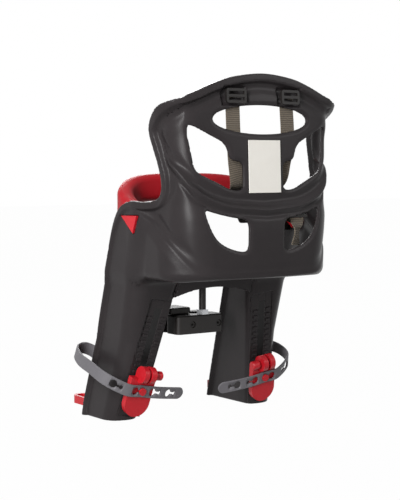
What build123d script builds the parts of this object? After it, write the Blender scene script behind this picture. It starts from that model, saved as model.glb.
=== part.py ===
from build123d import *
import math
import os

# Frame: millimetres, X to the child's left, Y to the rear, Z up.
# The origin is on the axis of the handlebar stem, at the middle height of the clamp.

# Shell: wall, raised border and bands
WALL = 4.0
PROUD = 5.0
RIM_WIDTH = 12.0
SHELL_TOP = 397.0
SHELL_BOTTOM = 87.0
BOTTOM_RADIUS = 14.0
BOTTOM_STEPS = 3
FAR = 300.0

# Bucket: height, half width, rear reach and corner radius of its sections, with a crowned back
SHOULDER_Y = 110.0
BUCKET_FRONT = -60.0
BACK_CROWN = 14.0
BUCKET = (
    (SHELL_BOTTOM + BOTTOM_RADIUS, 142.0, 200.0, 50.0),
    (159.0, 145.0, 202.0, 46.0),
    (181.0, 145.0, 201.0, 42.0),
    (200.0, 143.0, 195.0, 34.0),
    (222.0, 142.0, 193.0, 28.0),
    (270.0, 147.0, 191.0, 33.0),
    (300.0, 151.0, 190.0, 40.0),
    (330.0, 157.0, 188.5, 39.0),
    (360.0, 169.0, 187.0, 36.0),
    (SHELL_TOP + 20.0, 178.0, 183.0, 36.0),
)

# Rim seen from the side (Y, Z): wing, waist and armrest, then the front edge of the leg
WING_CURVE = (
    (176.0, 361.0),
    (140.0, 342.0),
    (118.0, 325.0),
    (110.5, 303.0),
    (124.0, 260.0),
    (129.5, 236.0),
    (126.0, 214.0),
    (114.0, 205.0),
    (95.0, 202.0),
    (66.0, 203.0),
)
LEG_FOOT = -149.0
LEG_FRONT_CURVE = ((36.0, 188.0), (9.0, 139.0), (-38.0, 10.0), (-70.0, -112.0), (-75.0, LEG_FOOT))
# Front edge of the pan and of the inner wall of the leg (Y, Z)
POMMEL_CURVE = ((60.0, 190.0), (12.0, 95.0), (-26.0, 20.0), (-112.0, LEG_FOOT))
# Crown seen from behind (X, Z), left half
CROWN_DROP = ((200.0, 52.0), (165.0, 41.0), (141.0, 36.0), (119.0, 28.5), (91.0, 17.0), (54.0, 6.0))

# Legs: channels open to the front, with a slanted rear wall
LEG_TOP = 206.0
LEG_REAR_AT_ZERO = 47.4
LEG_REAR_SLOPE = 0.265
LEG_INNER_AT_ZERO = 82.6
LEG_INNER_SLOPE = -0.191
LEG_OUTER = ((LEG_FOOT, 164.0), (-22.0, 152.0), (63.0, 154.0), (LEG_TOP, 160.0))
LEG_OUTER_RADIUS = 28.0
LEG_INNER_RADIUS = 15.0
LEG_FRONT = -170.0
CHANNEL_MIDDLE = 118.0

# Under the pan: rear skirt with an arched edge, front skirt, room for the stem
SKIRT_EDGE = 46.0
SKIRT_ARCH = 62.0
FRONT_SKIRT_EDGE = 66.0
STEM_ROOM = 18.0

# Belt ridge round the back (X, Z) and saddle line round the bottom (Y, Z)
BELT_CURVE = ((0.0, 194.0), (90.0, 199.0), (150.0, 222.0), (176.0, 270.0))
BELT_HEIGHT = 10.0
SADDLE_WIDEN = 8.0
SADDLE_CURVE = ((58.0, 206.0), (97.0, 183.0), (172.0, 121.0), (186.0, 108.0), (FAR, 101.0))

# Openings in the back (X, Z), left half
ELLIPSE_Z = 327.0
ELLIPSE_HALF_WIDTH = 90.0
ELLIPSE_HALF_HEIGHT = 22.0
UPPER_OPENING = (
    (132.0, 321.0),
    (67.0, 290.0),
    (60.0, 264.0),
    (38.0, 264.0),
    (38.0, 220.0),
    (58.0, 220.0),
    (121.0, 249.0),
)
LOWER_OPENING = ((110.0, 191.0), (34.0, 178.0), (34.0, 126.0), (48.0, 127.0), (80.0, 147.0), (104.0, 174.0))
OPENING_RADIUS = 6.0
REAR_CUT_FROM = 130.0

# Rack in the rear wall of each leg
RACK_X = 105.9
RACK_Z = 9.0
RACK_UP = (-0.152, 0.253, 0.955)
RACK_WIDTH = 40.0
RACK_TOP = 38.0
RACK_BOTTOM = -158.0
RACK_DEPTH = 1.8
SLOT_WIDTH = 14.0
SLOT_TOP = 24.0
SLOT_BOTTOM = -146.0
TOOTH_PITCH = 10.0
TOOTH_HEIGHT = 4.5
TOOTH_WIDTH = 9.0
TOOTH_GAP = 1.0
TOOTH_SETBACK = 0.2
TOOTH_FIRST = 10.0
TOOTH_COUNT = 13

# Footrest, its lock and its strap
CLEARANCE = 0.6
FOOT_PLATE_Z = -137.0
FOOT_PLATE_THICK = 7.0
FOOT_PLATE_TIP = -140.0
FOOT_PLATE_HEEL_TIP = -120.0
FOOT_RIM = 6.0
FOOT_RIM_WIDTH = 5.0
FOOT_BACK_THICK = 6.0
FOOT_BACK_TOP = -100.0
STEM_TOP = -106.0
STEM_BOTTOM = -138.0
LOCK_WIDTH = 46.0
LOCK_BOTTOM = -155.0
LOCK_TOP = -89.0
LOCK_THICK = 10.0
LUG_RADIUS = 13.5
LUG_THICK = 9.0
LUG_GAP = 5.0
LUG_Y = -82.0
KNOB_RADIUS = 7.5
KNOB_LENGTH = 14.0
KNOB_TRAVEL = 3.0
PIN_RADIUS = 4.0
PIN_CLEARANCE = 0.05
BUTTON_Y = -110.0
BUTTON_RADIUS = 3.0
BUTTON_HEAD_RADIUS = 6.0
BUTTON_HEAD_THICK = 3.0
STRAP_WIDTH = 20.0
STRAP_THICK = 3.0
STRAP_GAP = 0.5
KEYHOLES = 3
KEYHOLE_PITCH = 34.0
KEYHOLE_NECK = 17.0
KEYHOLE_DROP = 1.0
TAIL_REACH = 88.0
TAIL_SINK = 9.0
STRAP_START_Y = -70.0
STRAP_PATH = (
    (118.0, -84.0, -88.0),
    (124.0, -98.0, -58.0),
    (142.0, -107.0, -45.0),
    (165.0, -97.0, -46.0),
    (181.0, -60.0, -54.0),
    (189.0, -10.0, -62.0),
    (182.0, 22.0, -76.0),
)

# Front bar and its latches
BAR_PATH = (
    (0.0, -33.0, 222.0),
    (60.0, -32.0, 221.0),
    (98.0, -25.0, 216.0),
    (124.0, -8.0, 203.0),
    (135.0, 14.0, 190.0),
    (140.0, 44.0, 178.0),
)
BAR_SECTIONS = 24
BAR_HEIGHT = 44.0
BAR_THICK = 26.0
BAR_RADIUS = 11.0
TONGUE_FROM_Y = 38.0
TONGUE_TO_Y = 64.0
TONGUE_TOP = 197.0
TONGUE_BOTTOM = 150.0
TONGUE_THICK = 16.0
LATCH_FACE = ((42.0, 180.0), (86.0, 181.0), (75.0, 154.0))
LATCH_PROUD = 7.0
LATCH_DEPTH = 6.0
LATCH_TRAVEL = 5.0

# Stem clamp, post and socket under the pan
BORE_RADIUS = 14.3
JAW_LEFT = 55.0
JAW_RIGHT = -36.0
JAW_HALF_HEIGHT = 15.0
JAW_SPLIT = 1.5
REAR_JAW_Y = 37.0
FRONT_JAW_Y = -33.0
JAW_RADIUS = 8.0
JAW_INSET = 2.0
BOLT_X = 25.5
BOLT_RADIUS = 3.0
BOLT_CLEARANCE = 0.05
HEAD_RADIUS = 5.0
HEAD_HEIGHT = 6.0
HEAD_RECESS = 8.0
JAW_CHAMFER = 2.0
NUT_FLATS = 10.0
NUT_HEIGHT = 5.0
POST_Y = 27.0
POST_RADIUS = 5.75
POST_FOOT = -11.0
POST_NUT_FLATS = 18.0
POST_NUT_HEIGHT = 8.0
SOCKET_WIDTH = 52.0
SOCKET_REAR = 52.0
SOCKET_BOTTOM = 62.0
SOCKET_RADIUS = 5.0
SCREW_RADIUS = 2.5
SCREW_BITE = 14.0
SCREW_HEAD_RADIUS = 4.5
SCREW_HEAD_HEIGHT = 3.0
SCREW_PLACES = ((-19.0, 26.0), (19.0, 26.0), (-19.0, 46.0), (19.0, 46.0))

# Harness
WEB_WIDTH = 26.0
WEB_THICK = 2.0
WEB_GAP = 0.4
ADJUSTER_X = 51.6
ADJUSTER_Z = SHELL_TOP - 35.0
SHOULDER_BEND_Z = SHELL_TOP - 97.0
ADJUSTER_WIDTH = 36.0
ADJUSTER_HEIGHT = 22.0
ADJUSTER_THICK = 4.0
ADJUSTER_BAR = 4.0
SHOULDER_SLOT = 12.0
SHIELD_Y = 140.0
SHIELD_TOP = 206.0
SHIELD_BOTTOM = 168.0
SHIELD_TOP_HALF = 28.0
SHIELD_BOTTOM_HALF = 8.0
SHIELD_THICK = 3.0
SHIELD_RADIUS = 5.0
SHOULDER_END_X = 14.5
SHOULDER_PATH = ((47.0, 180.0, 262.0), (38.0, 174.0, 228.0))
WEB_END_RUN = 8.0
SLIDE_X = -66.0
SLIDE_Y = 188.5
SLIDE_Z = 179.0
SLIDE_SIZE = (38.0, 5.0, 5.0)
WAIST_PATH = ((-40.0, 146.0, 192.0), (-54.0, 166.0, 187.0))
TAIL_PATH = ((-65.0, 190.0, 156.0), (-63.0, 189.0, 134.0))
BUCKLE_Y = 62.0
BUCKLE_Z = 106.0
BUCKLE_WIDTH = 54.0
BUCKLE_LENGTH = 56.0
BUCKLE_THICK = 20.0
BUCKLE_RADIUS = 9.0
BUCKLE_BUTTON = 18.0
BUCKLE_TRAVEL = 3.0
BUTTON_DEPTH = 4.0
BUTTON_PROUD = 2.0
MOUTH_DEPTH = 15.0
MOUTH_HALF = 17.0
MOUTH_DROP = 5.0
CROTCH_Y = 112.0


def both_sides(part):
    """A left part with its mirrored right twin."""
    return part + mirror(part, about=Plane.YZ)


def bucket_section(station, grow, reach, widen):
    """Horizontal D section of the bucket, grown outwards by grow."""
    height, half_width, rear, radius = station
    width = half_width + grow + widen
    front = BUCKET_FRONT - reach
    corner = rear + grow - BACK_CROWN
    back = ThreePointArc((width, corner), (0, rear + grow), (-width, corner))
    sides = Polyline((-width, corner), (-width, front), (width, front), (width, corner))
    face = make_face(back.edges() + sides.edges())
    corners = face.vertices().group_by(Axis.Y)[-1]
    return Plane.XY.offset(height) * fillet(corners, radius + grow)


def bucket(grow, reach, widen=0.0):
    """Solid bucket with a rounded bottom edge, grown by grow, its open ends longer by reach."""
    base_height, *base = BUCKET[0]
    radius = BOTTOM_RADIUS + grow
    sections = []
    for step in range(BOTTOM_STEPS + 1):
        angle = step / BOTTOM_STEPS * math.pi / 2
        inset = radius * (1 - math.sin(angle))
        height = base_height - radius * math.cos(angle)
        sections.append(bucket_section((height, *base), grow - inset, reach, widen))
    for station in BUCKET[1:-1]:
        sections.append(bucket_section(station, grow, reach, widen))
    top_height, *top = BUCKET[-1]
    sections.append(bucket_section((top_height + reach, *top), grow, reach, widen))
    return loft(sections, ruled=True)


def bucket_rear(across, height):
    """Outer face of the back at a place, Y and the turn of its normal about Z in degrees."""
    low, high = BUCKET[0], BUCKET[1]
    for lower, upper in zip(BUCKET, BUCKET[1:]):
        if height > lower[0]:
            low, high = lower, upper
    share = (height - low[0]) / (high[0] - low[0])
    width = low[1] + share * (high[1] - low[1])
    rear = low[2] + share * (high[2] - low[2])
    radius = (width**2 + BACK_CROWN**2) / (2 * BACK_CROWN)
    drop = radius - math.sqrt(radius**2 - across**2)
    return rear - drop, -math.degrees(math.asin(across / radius))


def leg_rear(height):
    """Rear face of the legs at a height."""
    return LEG_REAR_AT_ZERO + LEG_REAR_SLOPE * height


def leg_inner(height):
    """Inner side of the left leg at a height."""
    return LEG_INNER_AT_ZERO + LEG_INNER_SLOPE * height


def leg_outer(height):
    """Outer side of the left leg at a height, between the listed stations."""
    low, high = LEG_OUTER[0], LEG_OUTER[1]
    for lower, upper in zip(LEG_OUTER, LEG_OUTER[1:]):
        if height > lower[0]:
            low, high = lower, upper
    share = (height - low[0]) / (high[0] - low[0])
    return low[1] + share * (high[1] - low[1])


def leg_section(height, grow):
    """Horizontal section of the left leg, grown by grow, open side forward."""
    inner = leg_inner(height) - grow
    outer = leg_outer(height) + grow
    rear = leg_rear(height) + grow
    face = Polygon((inner, LEG_FRONT), (outer, LEG_FRONT), (outer, rear), (inner, rear), align=None)
    corner = face.vertices().group_by(Axis.Y)[-1].sort_by(Axis.X)[0]
    face = fillet(corner, LEG_INNER_RADIUS + grow)
    corner = face.vertices().group_by(Axis.X)[-1].sort_by(Axis.Y)[-1]
    face = fillet(corner, LEG_OUTER_RADIUS + grow)
    return Plane.XY.offset(height) * face


def leg(grow, reach):
    """Solid left leg, grown by grow and reaching past both ends by reach."""
    heights = [LEG_FOOT - reach]
    heights += [height for height, outer in LEG_OUTER[1:-1]]
    heights += [LEG_TOP + reach]
    return loft([leg_section(height, grow) for height in heights], ruled=True)


def inset_curve(points, amount):
    """Points moved square to their curve, to its left side."""
    moved = []
    for index, (across, up) in enumerate(points):
        before = points[max(index - 1, 0)]
        after = points[min(index + 1, len(points) - 1)]
        run = (after[0] - before[0], after[1] - before[1])
        length = math.hypot(*run)
        moved.append((across - amount * run[1] / length, up + amount * run[0] / length))
    return moved


def side_region(inset):
    """What lies behind the rim, seen from the side, over the outer walls."""
    points = inset_curve(WING_CURVE + LEG_FRONT_CURVE, inset)
    wing = points[: len(WING_CURVE)]
    front = points[len(WING_CURVE) - 1 :]
    top = Polyline((FAR, FAR * 1.5), (wing[0][0], FAR * 1.5), wing[0])
    bottom = Polyline(*front, (front[-1][0], -FAR), (FAR, -FAR), (FAR, FAR * 1.5))
    face = make_face(top.edges() + Spline(*wing).edges() + bottom.edges())
    slab = extrude(Plane.YZ.offset(CHANNEL_MIDDLE) * face, FAR)
    return both_sides(slab)


def pommel_region(inset):
    """What lies behind the front edge of the pan and of the inner leg walls."""
    front = inset_curve(POMMEL_CURVE, inset)
    points = [(FAR, FAR * 1.5), (front[0][0], FAR * 1.5)] + front
    points += [(front[-1][0], -FAR), (FAR, -FAR)]
    face = make_face(Polyline(*points, close=True).edges())
    return extrude(Plane.YZ * face, CHANNEL_MIDDLE, both=True)


def crown_region(inset):
    """What lies under the crown, seen from behind."""
    left = inset_curve([(across, SHELL_TOP - drop) for across, drop in CROWN_DROP], inset)
    points = left + [(0.0, SHELL_TOP - inset)] + [(-across, up) for across, up in reversed(left)]
    base = Polyline(points[-1], (-FAR, -FAR), (FAR, -FAR), points[0])
    face = make_face(Spline(*points).edges() + base.edges())
    return extrude(Plane.XZ * face, FAR, both=True)


def kept_region(inset):
    """The region of the whole shell behind its rim, moved in by inset."""
    return (side_region(inset) + pommel_region(inset)) & crown_region(inset)


def belt_band():
    """Band of the belt ridge, seen from behind."""
    half = BELT_HEIGHT / 2
    left = list(reversed(BELT_CURVE[1:]))
    points = left + [BELT_CURVE[0]] + [(-across, up) for across, up in BELT_CURVE[1:]]
    upper = Spline(*[(across, up + half) for across, up in points])
    lower = Spline(*[(across, up - half) for across, up in points])
    ends = [Line(upper @ 0, lower @ 0), Line(upper @ 1, lower @ 1)]
    face = make_face([upper.edge(), lower.edge(), ends[0].edge(), ends[1].edge()])
    return Pos(0, SHOULDER_Y, 0) * extrude(Plane.XZ * face, -FAR)


def saddle_region(bottom, inset):
    """What lies under the saddle line, seen from the side, down to a height."""
    line = inset_curve(SADDLE_CURVE, -inset)
    points = line + [(line[-1][0], bottom), (line[0][0], bottom)]
    face = make_face(Polyline(*points, close=True).edges())
    return extrude(Plane.YZ * face, FAR, both=True)


def back_opening(points):
    """Cutter for one rounded opening in the left half of the back."""
    face = make_face(Polyline(*points, close=True).edges())
    face = fillet(face.vertices(), OPENING_RADIUS)
    return Pos(0, REAR_CUT_FROM, 0) * extrude(Plane.XZ * face, -FAR)


def rack_plane():
    """Plane on the rear face of the left leg: X inwards, Y up the leg, Z to the rear."""
    origin = Vector(RACK_X, leg_rear(RACK_Z), RACK_Z)
    normal = Vector(0, 1, -LEG_REAR_SLOPE).normalized()
    up = Vector(*RACK_UP)
    up = (up - normal * up.dot(normal)).normalized()
    return Plane(origin=origin, x_dir=up.cross(normal), z_dir=normal)


def block(plane, across, along, through):
    """Box between two limits on each axis of a plane."""
    size = [limits[1] - limits[0] for limits in (across, along, through)]
    middle = [(limits[0] + limits[1]) / 2 for limits in (across, along, through)]
    return plane * Pos(*middle) * Box(*size)


def rack_cutter(plane):
    """Recess with teeth left standing, and the slot through the wall."""
    half = RACK_WIDTH / 2
    recess = block(plane, (-half, half), (RACK_BOTTOM, RACK_TOP), (-RACK_DEPTH, FAR / 10))
    near = SLOT_WIDTH / 2 + TOOTH_GAP
    for index in range(TOOTH_COUNT):
        top = TOOTH_FIRST - index * TOOTH_PITCH
        for side in (-1, 1):
            limits = sorted((side * near, side * (near + TOOTH_WIDTH)))
            recess -= block(plane, limits, (top - TOOTH_HEIGHT, top), (-RACK_DEPTH * 2, -TOOTH_SETBACK))
    slot = block(plane, (-SLOT_WIDTH / 2, SLOT_WIDTH / 2), (SLOT_BOTTOM, SLOT_TOP), (-WALL * 3, WALL * 3))
    return recess + slot


def rear_skirt():
    """Arched wall between the legs, hanging from the pan in the plane of their rear faces."""
    edge, top = SKIRT_EDGE, SHELL_BOTTOM + WALL / 2
    points = [(leg_rear(edge) - WALL, edge), (leg_rear(edge), edge), (leg_rear(top), top)]
    points += [(leg_rear(top) - WALL, top)]
    half = leg_inner(edge) + WALL / 2
    wall = extrude(Plane.YZ * make_face(Polyline(*points, close=True).edges()), half, both=True)
    arc = ThreePointArc((-half, edge), (0, SKIRT_ARCH), (half, edge))
    arch = make_face([arc.edge(), Line((half, edge), (-half, edge)).edge()])
    return wall - extrude(Plane.XZ * arch, FAR, both=True)


def front_skirt():
    """Wall under the front edge of the pan, between the inner walls of the legs."""
    (high_y, high_z), (low_y, low_z) = POMMEL_CURVE[1], POMMEL_CURVE[2]
    slope = (high_y - low_y) / (high_z - low_z)
    edge, top = FRONT_SKIRT_EDGE, SHELL_BOTTOM + WALL / 2
    edge_y = high_y + slope * (edge - high_z)
    top_y = high_y + slope * (top - high_z)
    points = [(edge_y, edge), (edge_y + WALL, edge), (top_y + WALL, top), (top_y, top)]
    half = leg_inner(edge) + WALL / 2
    return extrude(Plane.YZ * make_face(Polyline(*points, close=True).edges()), half, both=True)


def latch_prism(grow, inner, outer):
    """Triangular prism of the left latch between two X places, grown all round."""
    face = make_face(Polyline(*LATCH_FACE, close=True).edges())
    if grow:
        face = offset(face, grow)
    return extrude(Plane.YZ.offset(inner) * face, outer - inner)


def socket_block(grow):
    """Room of the mount socket under the pan, grown round its sides."""
    half = SOCKET_WIDTH / 2 + grow
    front = STEM_ROOM + CLEARANCE - grow
    return block(Plane.XY, (-half, half), (front, SOCKET_REAR + grow), (SOCKET_BOTTOM, SHELL_BOTTOM))


def seat_shell():
    """The moulded shell: bucket, pan, wings, saddle and both legs in one piece."""
    inside = bucket(-WALL, BOTTOM_RADIUS)
    channel = leg(-WALL, BOTTOM_RADIUS)
    kept = kept_region(0.0)
    border = kept - kept_region(RIM_WIDTH)
    saddle = saddle_region(SHELL_BOTTOM - 2 * PROUD, 0.0)
    saddle_inside = bucket(PROUD - WALL, BOTTOM_RADIUS, SADDLE_WIDEN)
    saddle_inside &= saddle_region(SHELL_BOTTOM + WALL, WALL)

    bucket_swollen = bucket(PROUD, 0.0) - inside
    bucket_walls = (bucket(0.0, 0.0) - inside) & kept
    bucket_walls += bucket_swollen & border
    bucket_walls += (bucket_swollen & belt_band()) & kept
    bucket_walls += ((bucket(PROUD, 0.0, SADDLE_WIDEN) - inside) & saddle) & kept
    bucket_walls -= saddle_inside
    bucket_walls -= both_sides(channel)

    leg_swollen = leg(PROUD, 0.0) - channel
    leg_walls = (leg(0.0, 0.0) - channel) & kept
    leg_walls += leg_swollen & border
    leg_walls += (leg_swollen & saddle) & kept
    leg_walls -= inside
    leg_walls -= saddle_inside
    leg_walls -= rack_cutter(RACK)

    shell = bucket_walls + both_sides(leg_walls) + rear_skirt() + front_skirt()
    ellipse = Plane.XZ * Pos(0, ELLIPSE_Z) * Ellipse(ELLIPSE_HALF_WIDTH, ELLIPSE_HALF_HEIGHT)
    shell -= Pos(0, REAR_CUT_FROM, 0) * extrude(ellipse, -FAR)
    shell -= both_sides(back_opening(UPPER_OPENING))
    shell -= both_sides(back_opening(LOWER_OPENING))
    slot = Pos(ADJUSTER_X, FAR / 2 + REAR_CUT_FROM, ADJUSTER_Z)
    shell -= both_sides(slot * Box(WEB_WIDTH + 4 * CLEARANCE, FAR, SHOULDER_SLOT))
    shell -= both_sides(latch_prism(CLEARANCE, CHANNEL_MIDDLE, FAR))
    shell -= Cylinder(STEM_ROOM, FAR)
    shell -= socket_block(CLEARANCE)
    for across, along in SCREW_PLACES:
        shell -= Pos(across, along, SHELL_BOTTOM) * Cylinder(SCREW_RADIUS + BOLT_CLEARANCE, 4 * WALL)
    crotch_slot = Box(WEB_WIDTH + 2 * WEB_GAP, WEB_THICK + 2 * WEB_GAP, 4 * WALL)
    return shell - Pos(0, CROTCH_Y, SHELL_BOTTOM) * crotch_slot


def footrest():
    """Left foot plate with raised rim and back, and the stem that passes through the slot."""
    floor = FOOT_PLATE_Z
    heel = leg_rear(floor) - WALL - CLEARANCE
    inner = leg_inner(floor) + WALL + 2 * CLEARANCE
    outer = leg_outer(floor + FOOT_PLATE_THICK) - WALL - 2 * CLEARANCE
    points = [(inner, heel), (outer, heel), (outer, FOOT_PLATE_TIP), (inner, FOOT_PLATE_HEEL_TIP)]
    outline = make_face(Polyline(*points, close=True).edges())
    rear = outline.vertices().group_by(Axis.Y)[-1].sort_by(Axis.X)
    outline = fillet(rear[0], LEG_INNER_RADIUS)
    rear = outline.vertices().group_by(Axis.X)[-1].sort_by(Axis.Y)[-1]
    outline = fillet(rear, LEG_OUTER_RADIUS)
    front = outline.vertices().group_by(Axis.Y)[0][0]
    outline = fillet(front, LEG_INNER_RADIUS)
    plate = Pos(0, 0, floor) * extrude(outline, FOOT_PLATE_THICK + FOOT_RIM)
    tray = Pos(0, 0, floor + FOOT_PLATE_THICK) * extrude(offset(outline, -FOOT_RIM_WIDTH), FOOT_RIM)
    plate -= tray
    inside = -WALL - CLEARANCE
    outside = SLOT_WIDTH / 2 + 2 * TOOTH_GAP
    stem_half = SLOT_WIDTH / 2 - CLEARANCE
    low = (floor + FOOT_PLATE_THICK / 2 - RACK.origin.Z) / RACK.y_dir.Z
    back = block(RACK, (-outside, stem_half), (low, FOOT_BACK_TOP), (inside - FOOT_BACK_THICK, inside))
    stem = block(RACK, (-stem_half, stem_half), (STEM_BOTTOM, STEM_TOP), (inside, CLEARANCE))
    return plate + back + stem


def footrest_lock():
    """Left lock: a tongue with a round end, two lugs for the pin and the strap stud."""
    half = LOCK_WIDTH / 2
    middle = LOCK_BOTTOM + half
    outline = Rectangle(LOCK_WIDTH, LOCK_TOP - middle, align=(Align.CENTER, Align.MIN))
    outline = Pos(0, middle) * (outline + Circle(half))
    tongue = RACK * Pos(0, 0, CLEARANCE) * extrude(outline, LOCK_THICK)
    lug_z = CLEARANCE + LUG_RADIUS
    for side in (-1, 1):
        across = side * (LUG_GAP + LUG_THICK) / 2
        disc = Pos(across, LUG_Y, lug_z) * Rot(0, 90, 0) * Cylinder(LUG_RADIUS, LUG_THICK)
        web = Pos(across, (LUG_Y + LOCK_TOP) / 2 - LUG_RADIUS / 2, CLEARANCE + LOCK_THICK / 2)
        tongue += RACK * (disc + web * Box(LUG_THICK, LUG_RADIUS * 2, LOCK_THICK))
    bore = Pos(0, LUG_Y, lug_z) * Rot(0, 90, 0) * Cylinder(PIN_RADIUS + PIN_CLEARANCE, LOCK_WIDTH)
    tongue -= RACK * bore
    face = CLEARANCE + LOCK_THICK
    stud_length = STRAP_THICK + 2 * STRAP_GAP
    stud = Pos(0, BUTTON_Y, face + stud_length / 2) * Cylinder(BUTTON_RADIUS, stud_length)
    head_z = face + stud_length + BUTTON_HEAD_THICK / 2
    head = Pos(0, BUTTON_Y, head_z) * Cylinder(BUTTON_HEAD_RADIUS, BUTTON_HEAD_THICK)
    return tongue + RACK * (stud + head)


def release_button():
    """Left push knob on its pin, through the two lugs."""
    lug_z = CLEARANCE + LUG_RADIUS
    lugs = LUG_GAP + 2 * LUG_THICK
    pin_length = lugs + KNOB_TRAVEL
    pin = Pos(KNOB_TRAVEL / 2, LUG_Y, lug_z) * Rot(0, 90, 0) * Cylinder(PIN_RADIUS, pin_length)
    knob_x = lugs / 2 + KNOB_TRAVEL + KNOB_LENGTH / 2
    knob = Pos(knob_x, LUG_Y, lug_z) * Rot(0, 90, 0) * Cylinder(KNOB_RADIUS, KNOB_LENGTH)
    knob = chamfer(knob.edges().filter_by(GeomType.CIRCLE), KNOB_RADIUS / 5)
    return RACK * (pin + knob)


def band(points, width, thick, upright):
    """Flat strap along points, its width held as near as it can be to one direction."""
    places = [Vector(*point) for point in points]
    sections = []
    for index, place in enumerate(places):
        before = places[max(index - 1, 0)]
        after = places[min(index + 1, len(places) - 1)]
        run = (after - before).normalized()
        wide = upright - run * upright.dot(run)
        plane = Plane(origin=place, x_dir=wide.normalized(), z_dir=run)
        sections.append(plane * Rectangle(width, thick))
    return loft(sections, ruled=True)


RACK = rack_plane()
STRAP_Z = CLEARANCE + LOCK_THICK + STRAP_GAP + STRAP_THICK / 2


def on_lock(across, along, sink=0.0):
    """Point of the strap on the rear face of the lock, or sunk towards the front."""
    return tuple((RACK * Pos(across, along, STRAP_Z - sink)).position)


def keyhole():
    """Keyhole: a round that passes the head of the stud and a neck that holds it."""
    neck = BUTTON_RADIUS + STRAP_GAP
    face = Circle(neck) + Pos(-KEYHOLE_NECK / 2, 0) * Rectangle(KEYHOLE_NECK, 2 * neck)
    face += Pos(-KEYHOLE_NECK, 0) * Circle(BUTTON_HEAD_RADIUS + STRAP_GAP)
    return extrude(face, TAIL_SINK + STRAP_THICK, both=True)


def foot_strap():
    """Left foot strap: from the side of the plate, round the front, back to the stud and on."""
    inner = leg_inner(FOOT_PLATE_Z) + WALL + 2 * CLEARANCE + FOOT_RIM_WIDTH / 2
    rim = FOOT_PLATE_Z + FOOT_PLATE_THICK + FOOT_RIM
    points = [
        (inner, STRAP_START_Y, rim + STRAP_GAP),
        (inner, STRAP_START_Y, rim + STRAP_WIDTH / 2),
        *STRAP_PATH,
        on_lock(-LOCK_WIDTH / 2 - STRAP_WIDTH / 4, BUTTON_Y + KEYHOLE_DROP),
        on_lock(0.0, BUTTON_Y),
        on_lock(KEYHOLE_PITCH, BUTTON_Y - KEYHOLE_DROP),
        on_lock(TAIL_REACH, BUTTON_Y - KEYHOLES * KEYHOLE_DROP, TAIL_SINK),
    ]
    strap = band(points, STRAP_WIDTH, STRAP_THICK, RACK.y_dir)
    for index in range(KEYHOLES):
        place = Pos(index * KEYHOLE_PITCH, BUTTON_Y - index * KEYHOLE_DROP, STRAP_Z)
        strap -= RACK * place * keyhole()
    return strap


def tongue_outer():
    """Outer face of the end tongue of the bar, close to the wall of the leg."""
    return leg_outer(TONGUE_BOTTOM) - WALL - CLEARANCE


def front_bar():
    """Arched bar round the front, with a tongue down into each side."""
    mirrored = [(-across, along, up) for across, along, up in reversed(BAR_PATH[1:])]
    path = Spline(*mirrored, *BAR_PATH)
    sections = []
    for index in range(BAR_SECTIONS + 1):
        run = path % (index / BAR_SECTIONS)
        tall = Vector(0, 0, 1) - run * run.Z
        plane = Plane(origin=path @ (index / BAR_SECTIONS), x_dir=tall.normalized(), z_dir=run)
        sections.append(plane * RectangleRounded(BAR_HEIGHT, BAR_THICK, BAR_RADIUS))
    bar = loft(sections, ruled=True)
    outer = tongue_outer()
    tongue = block(
        Plane.XY,
        (outer - TONGUE_THICK, outer),
        (TONGUE_FROM_Y, TONGUE_TO_Y),
        (TONGUE_BOTTOM, TONGUE_TOP),
    )
    pocket = latch_prism(CLEARANCE, outer - LATCH_DEPTH - LATCH_TRAVEL - CLEARANCE, FAR)
    return bar + both_sides(tongue) - both_sides(pocket)


def bar_latch():
    """Left latch button: a triangular prism through the side wall."""
    outer = tongue_outer()
    return latch_prism(0.0, outer - LATCH_DEPTH, outer + CLEARANCE + WALL + LATCH_PROUD)


def hexagon_nut(flats, height, hole):
    """Hexagon nut on its base, with a plain hole."""
    nut = extrude(RegularPolygon(flats / 2, 6, major_radius=False), height)
    return nut - Cylinder(hole, 4 * height)


def jaw(from_y, to_y, inset):
    """One clamp jaw with its half of the bore and the two bolt holes."""
    middle = Pos((JAW_LEFT + JAW_RIGHT) / 2, (from_y + to_y) / 2)
    outline = middle * RectangleRounded(JAW_LEFT - JAW_RIGHT - 2 * inset, to_y - from_y, JAW_RADIUS)
    body = Pos(0, 0, -JAW_HALF_HEIGHT) * extrude(outline, 2 * JAW_HALF_HEIGHT)
    body = chamfer(body.faces().sort_by(Axis.Z)[-1].edges(), JAW_CHAMFER)
    body -= Cylinder(BORE_RADIUS, FAR)
    for side in (-1, 1):
        hole = Pos(side * BOLT_X, 0, 0) * Rot(90, 0, 0) * Cylinder(BOLT_RADIUS + BOLT_CLEARANCE, FAR)
        body -= hole
    return body


def clamp_rear_jaw():
    """Jaw behind the stem: bolt head recesses and the hole for the post."""
    body = jaw(JAW_SPLIT / 2, REAR_JAW_Y, 0.0)
    for side in (-1, 1):
        recess = Pos(side * BOLT_X, REAR_JAW_Y, 0) * Rot(90, 0, 0)
        body -= recess * Cylinder(HEAD_RADIUS + CLEARANCE, 2 * HEAD_RECESS)
    post_length = 2 * (JAW_HALF_HEIGHT - POST_FOOT)
    body -= Pos(0, POST_Y, JAW_HALF_HEIGHT) * Cylinder(POST_RADIUS + BOLT_CLEARANCE, post_length)
    return body


def clamp_front_jaw():
    """Jaw in front of the stem, with a recess for each nut."""
    body = jaw(FRONT_JAW_Y, -JAW_SPLIT / 2, JAW_INSET)
    for side in (-1, 1):
        seat = Pos(side * BOLT_X, FRONT_JAW_Y, 0) * Rot(90, 0, 0)
        pocket = extrude(RegularPolygon(NUT_FLATS / 2 + CLEARANCE, 6, major_radius=False), -NUT_HEIGHT)
        body -= seat * pocket
    return body


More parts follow.
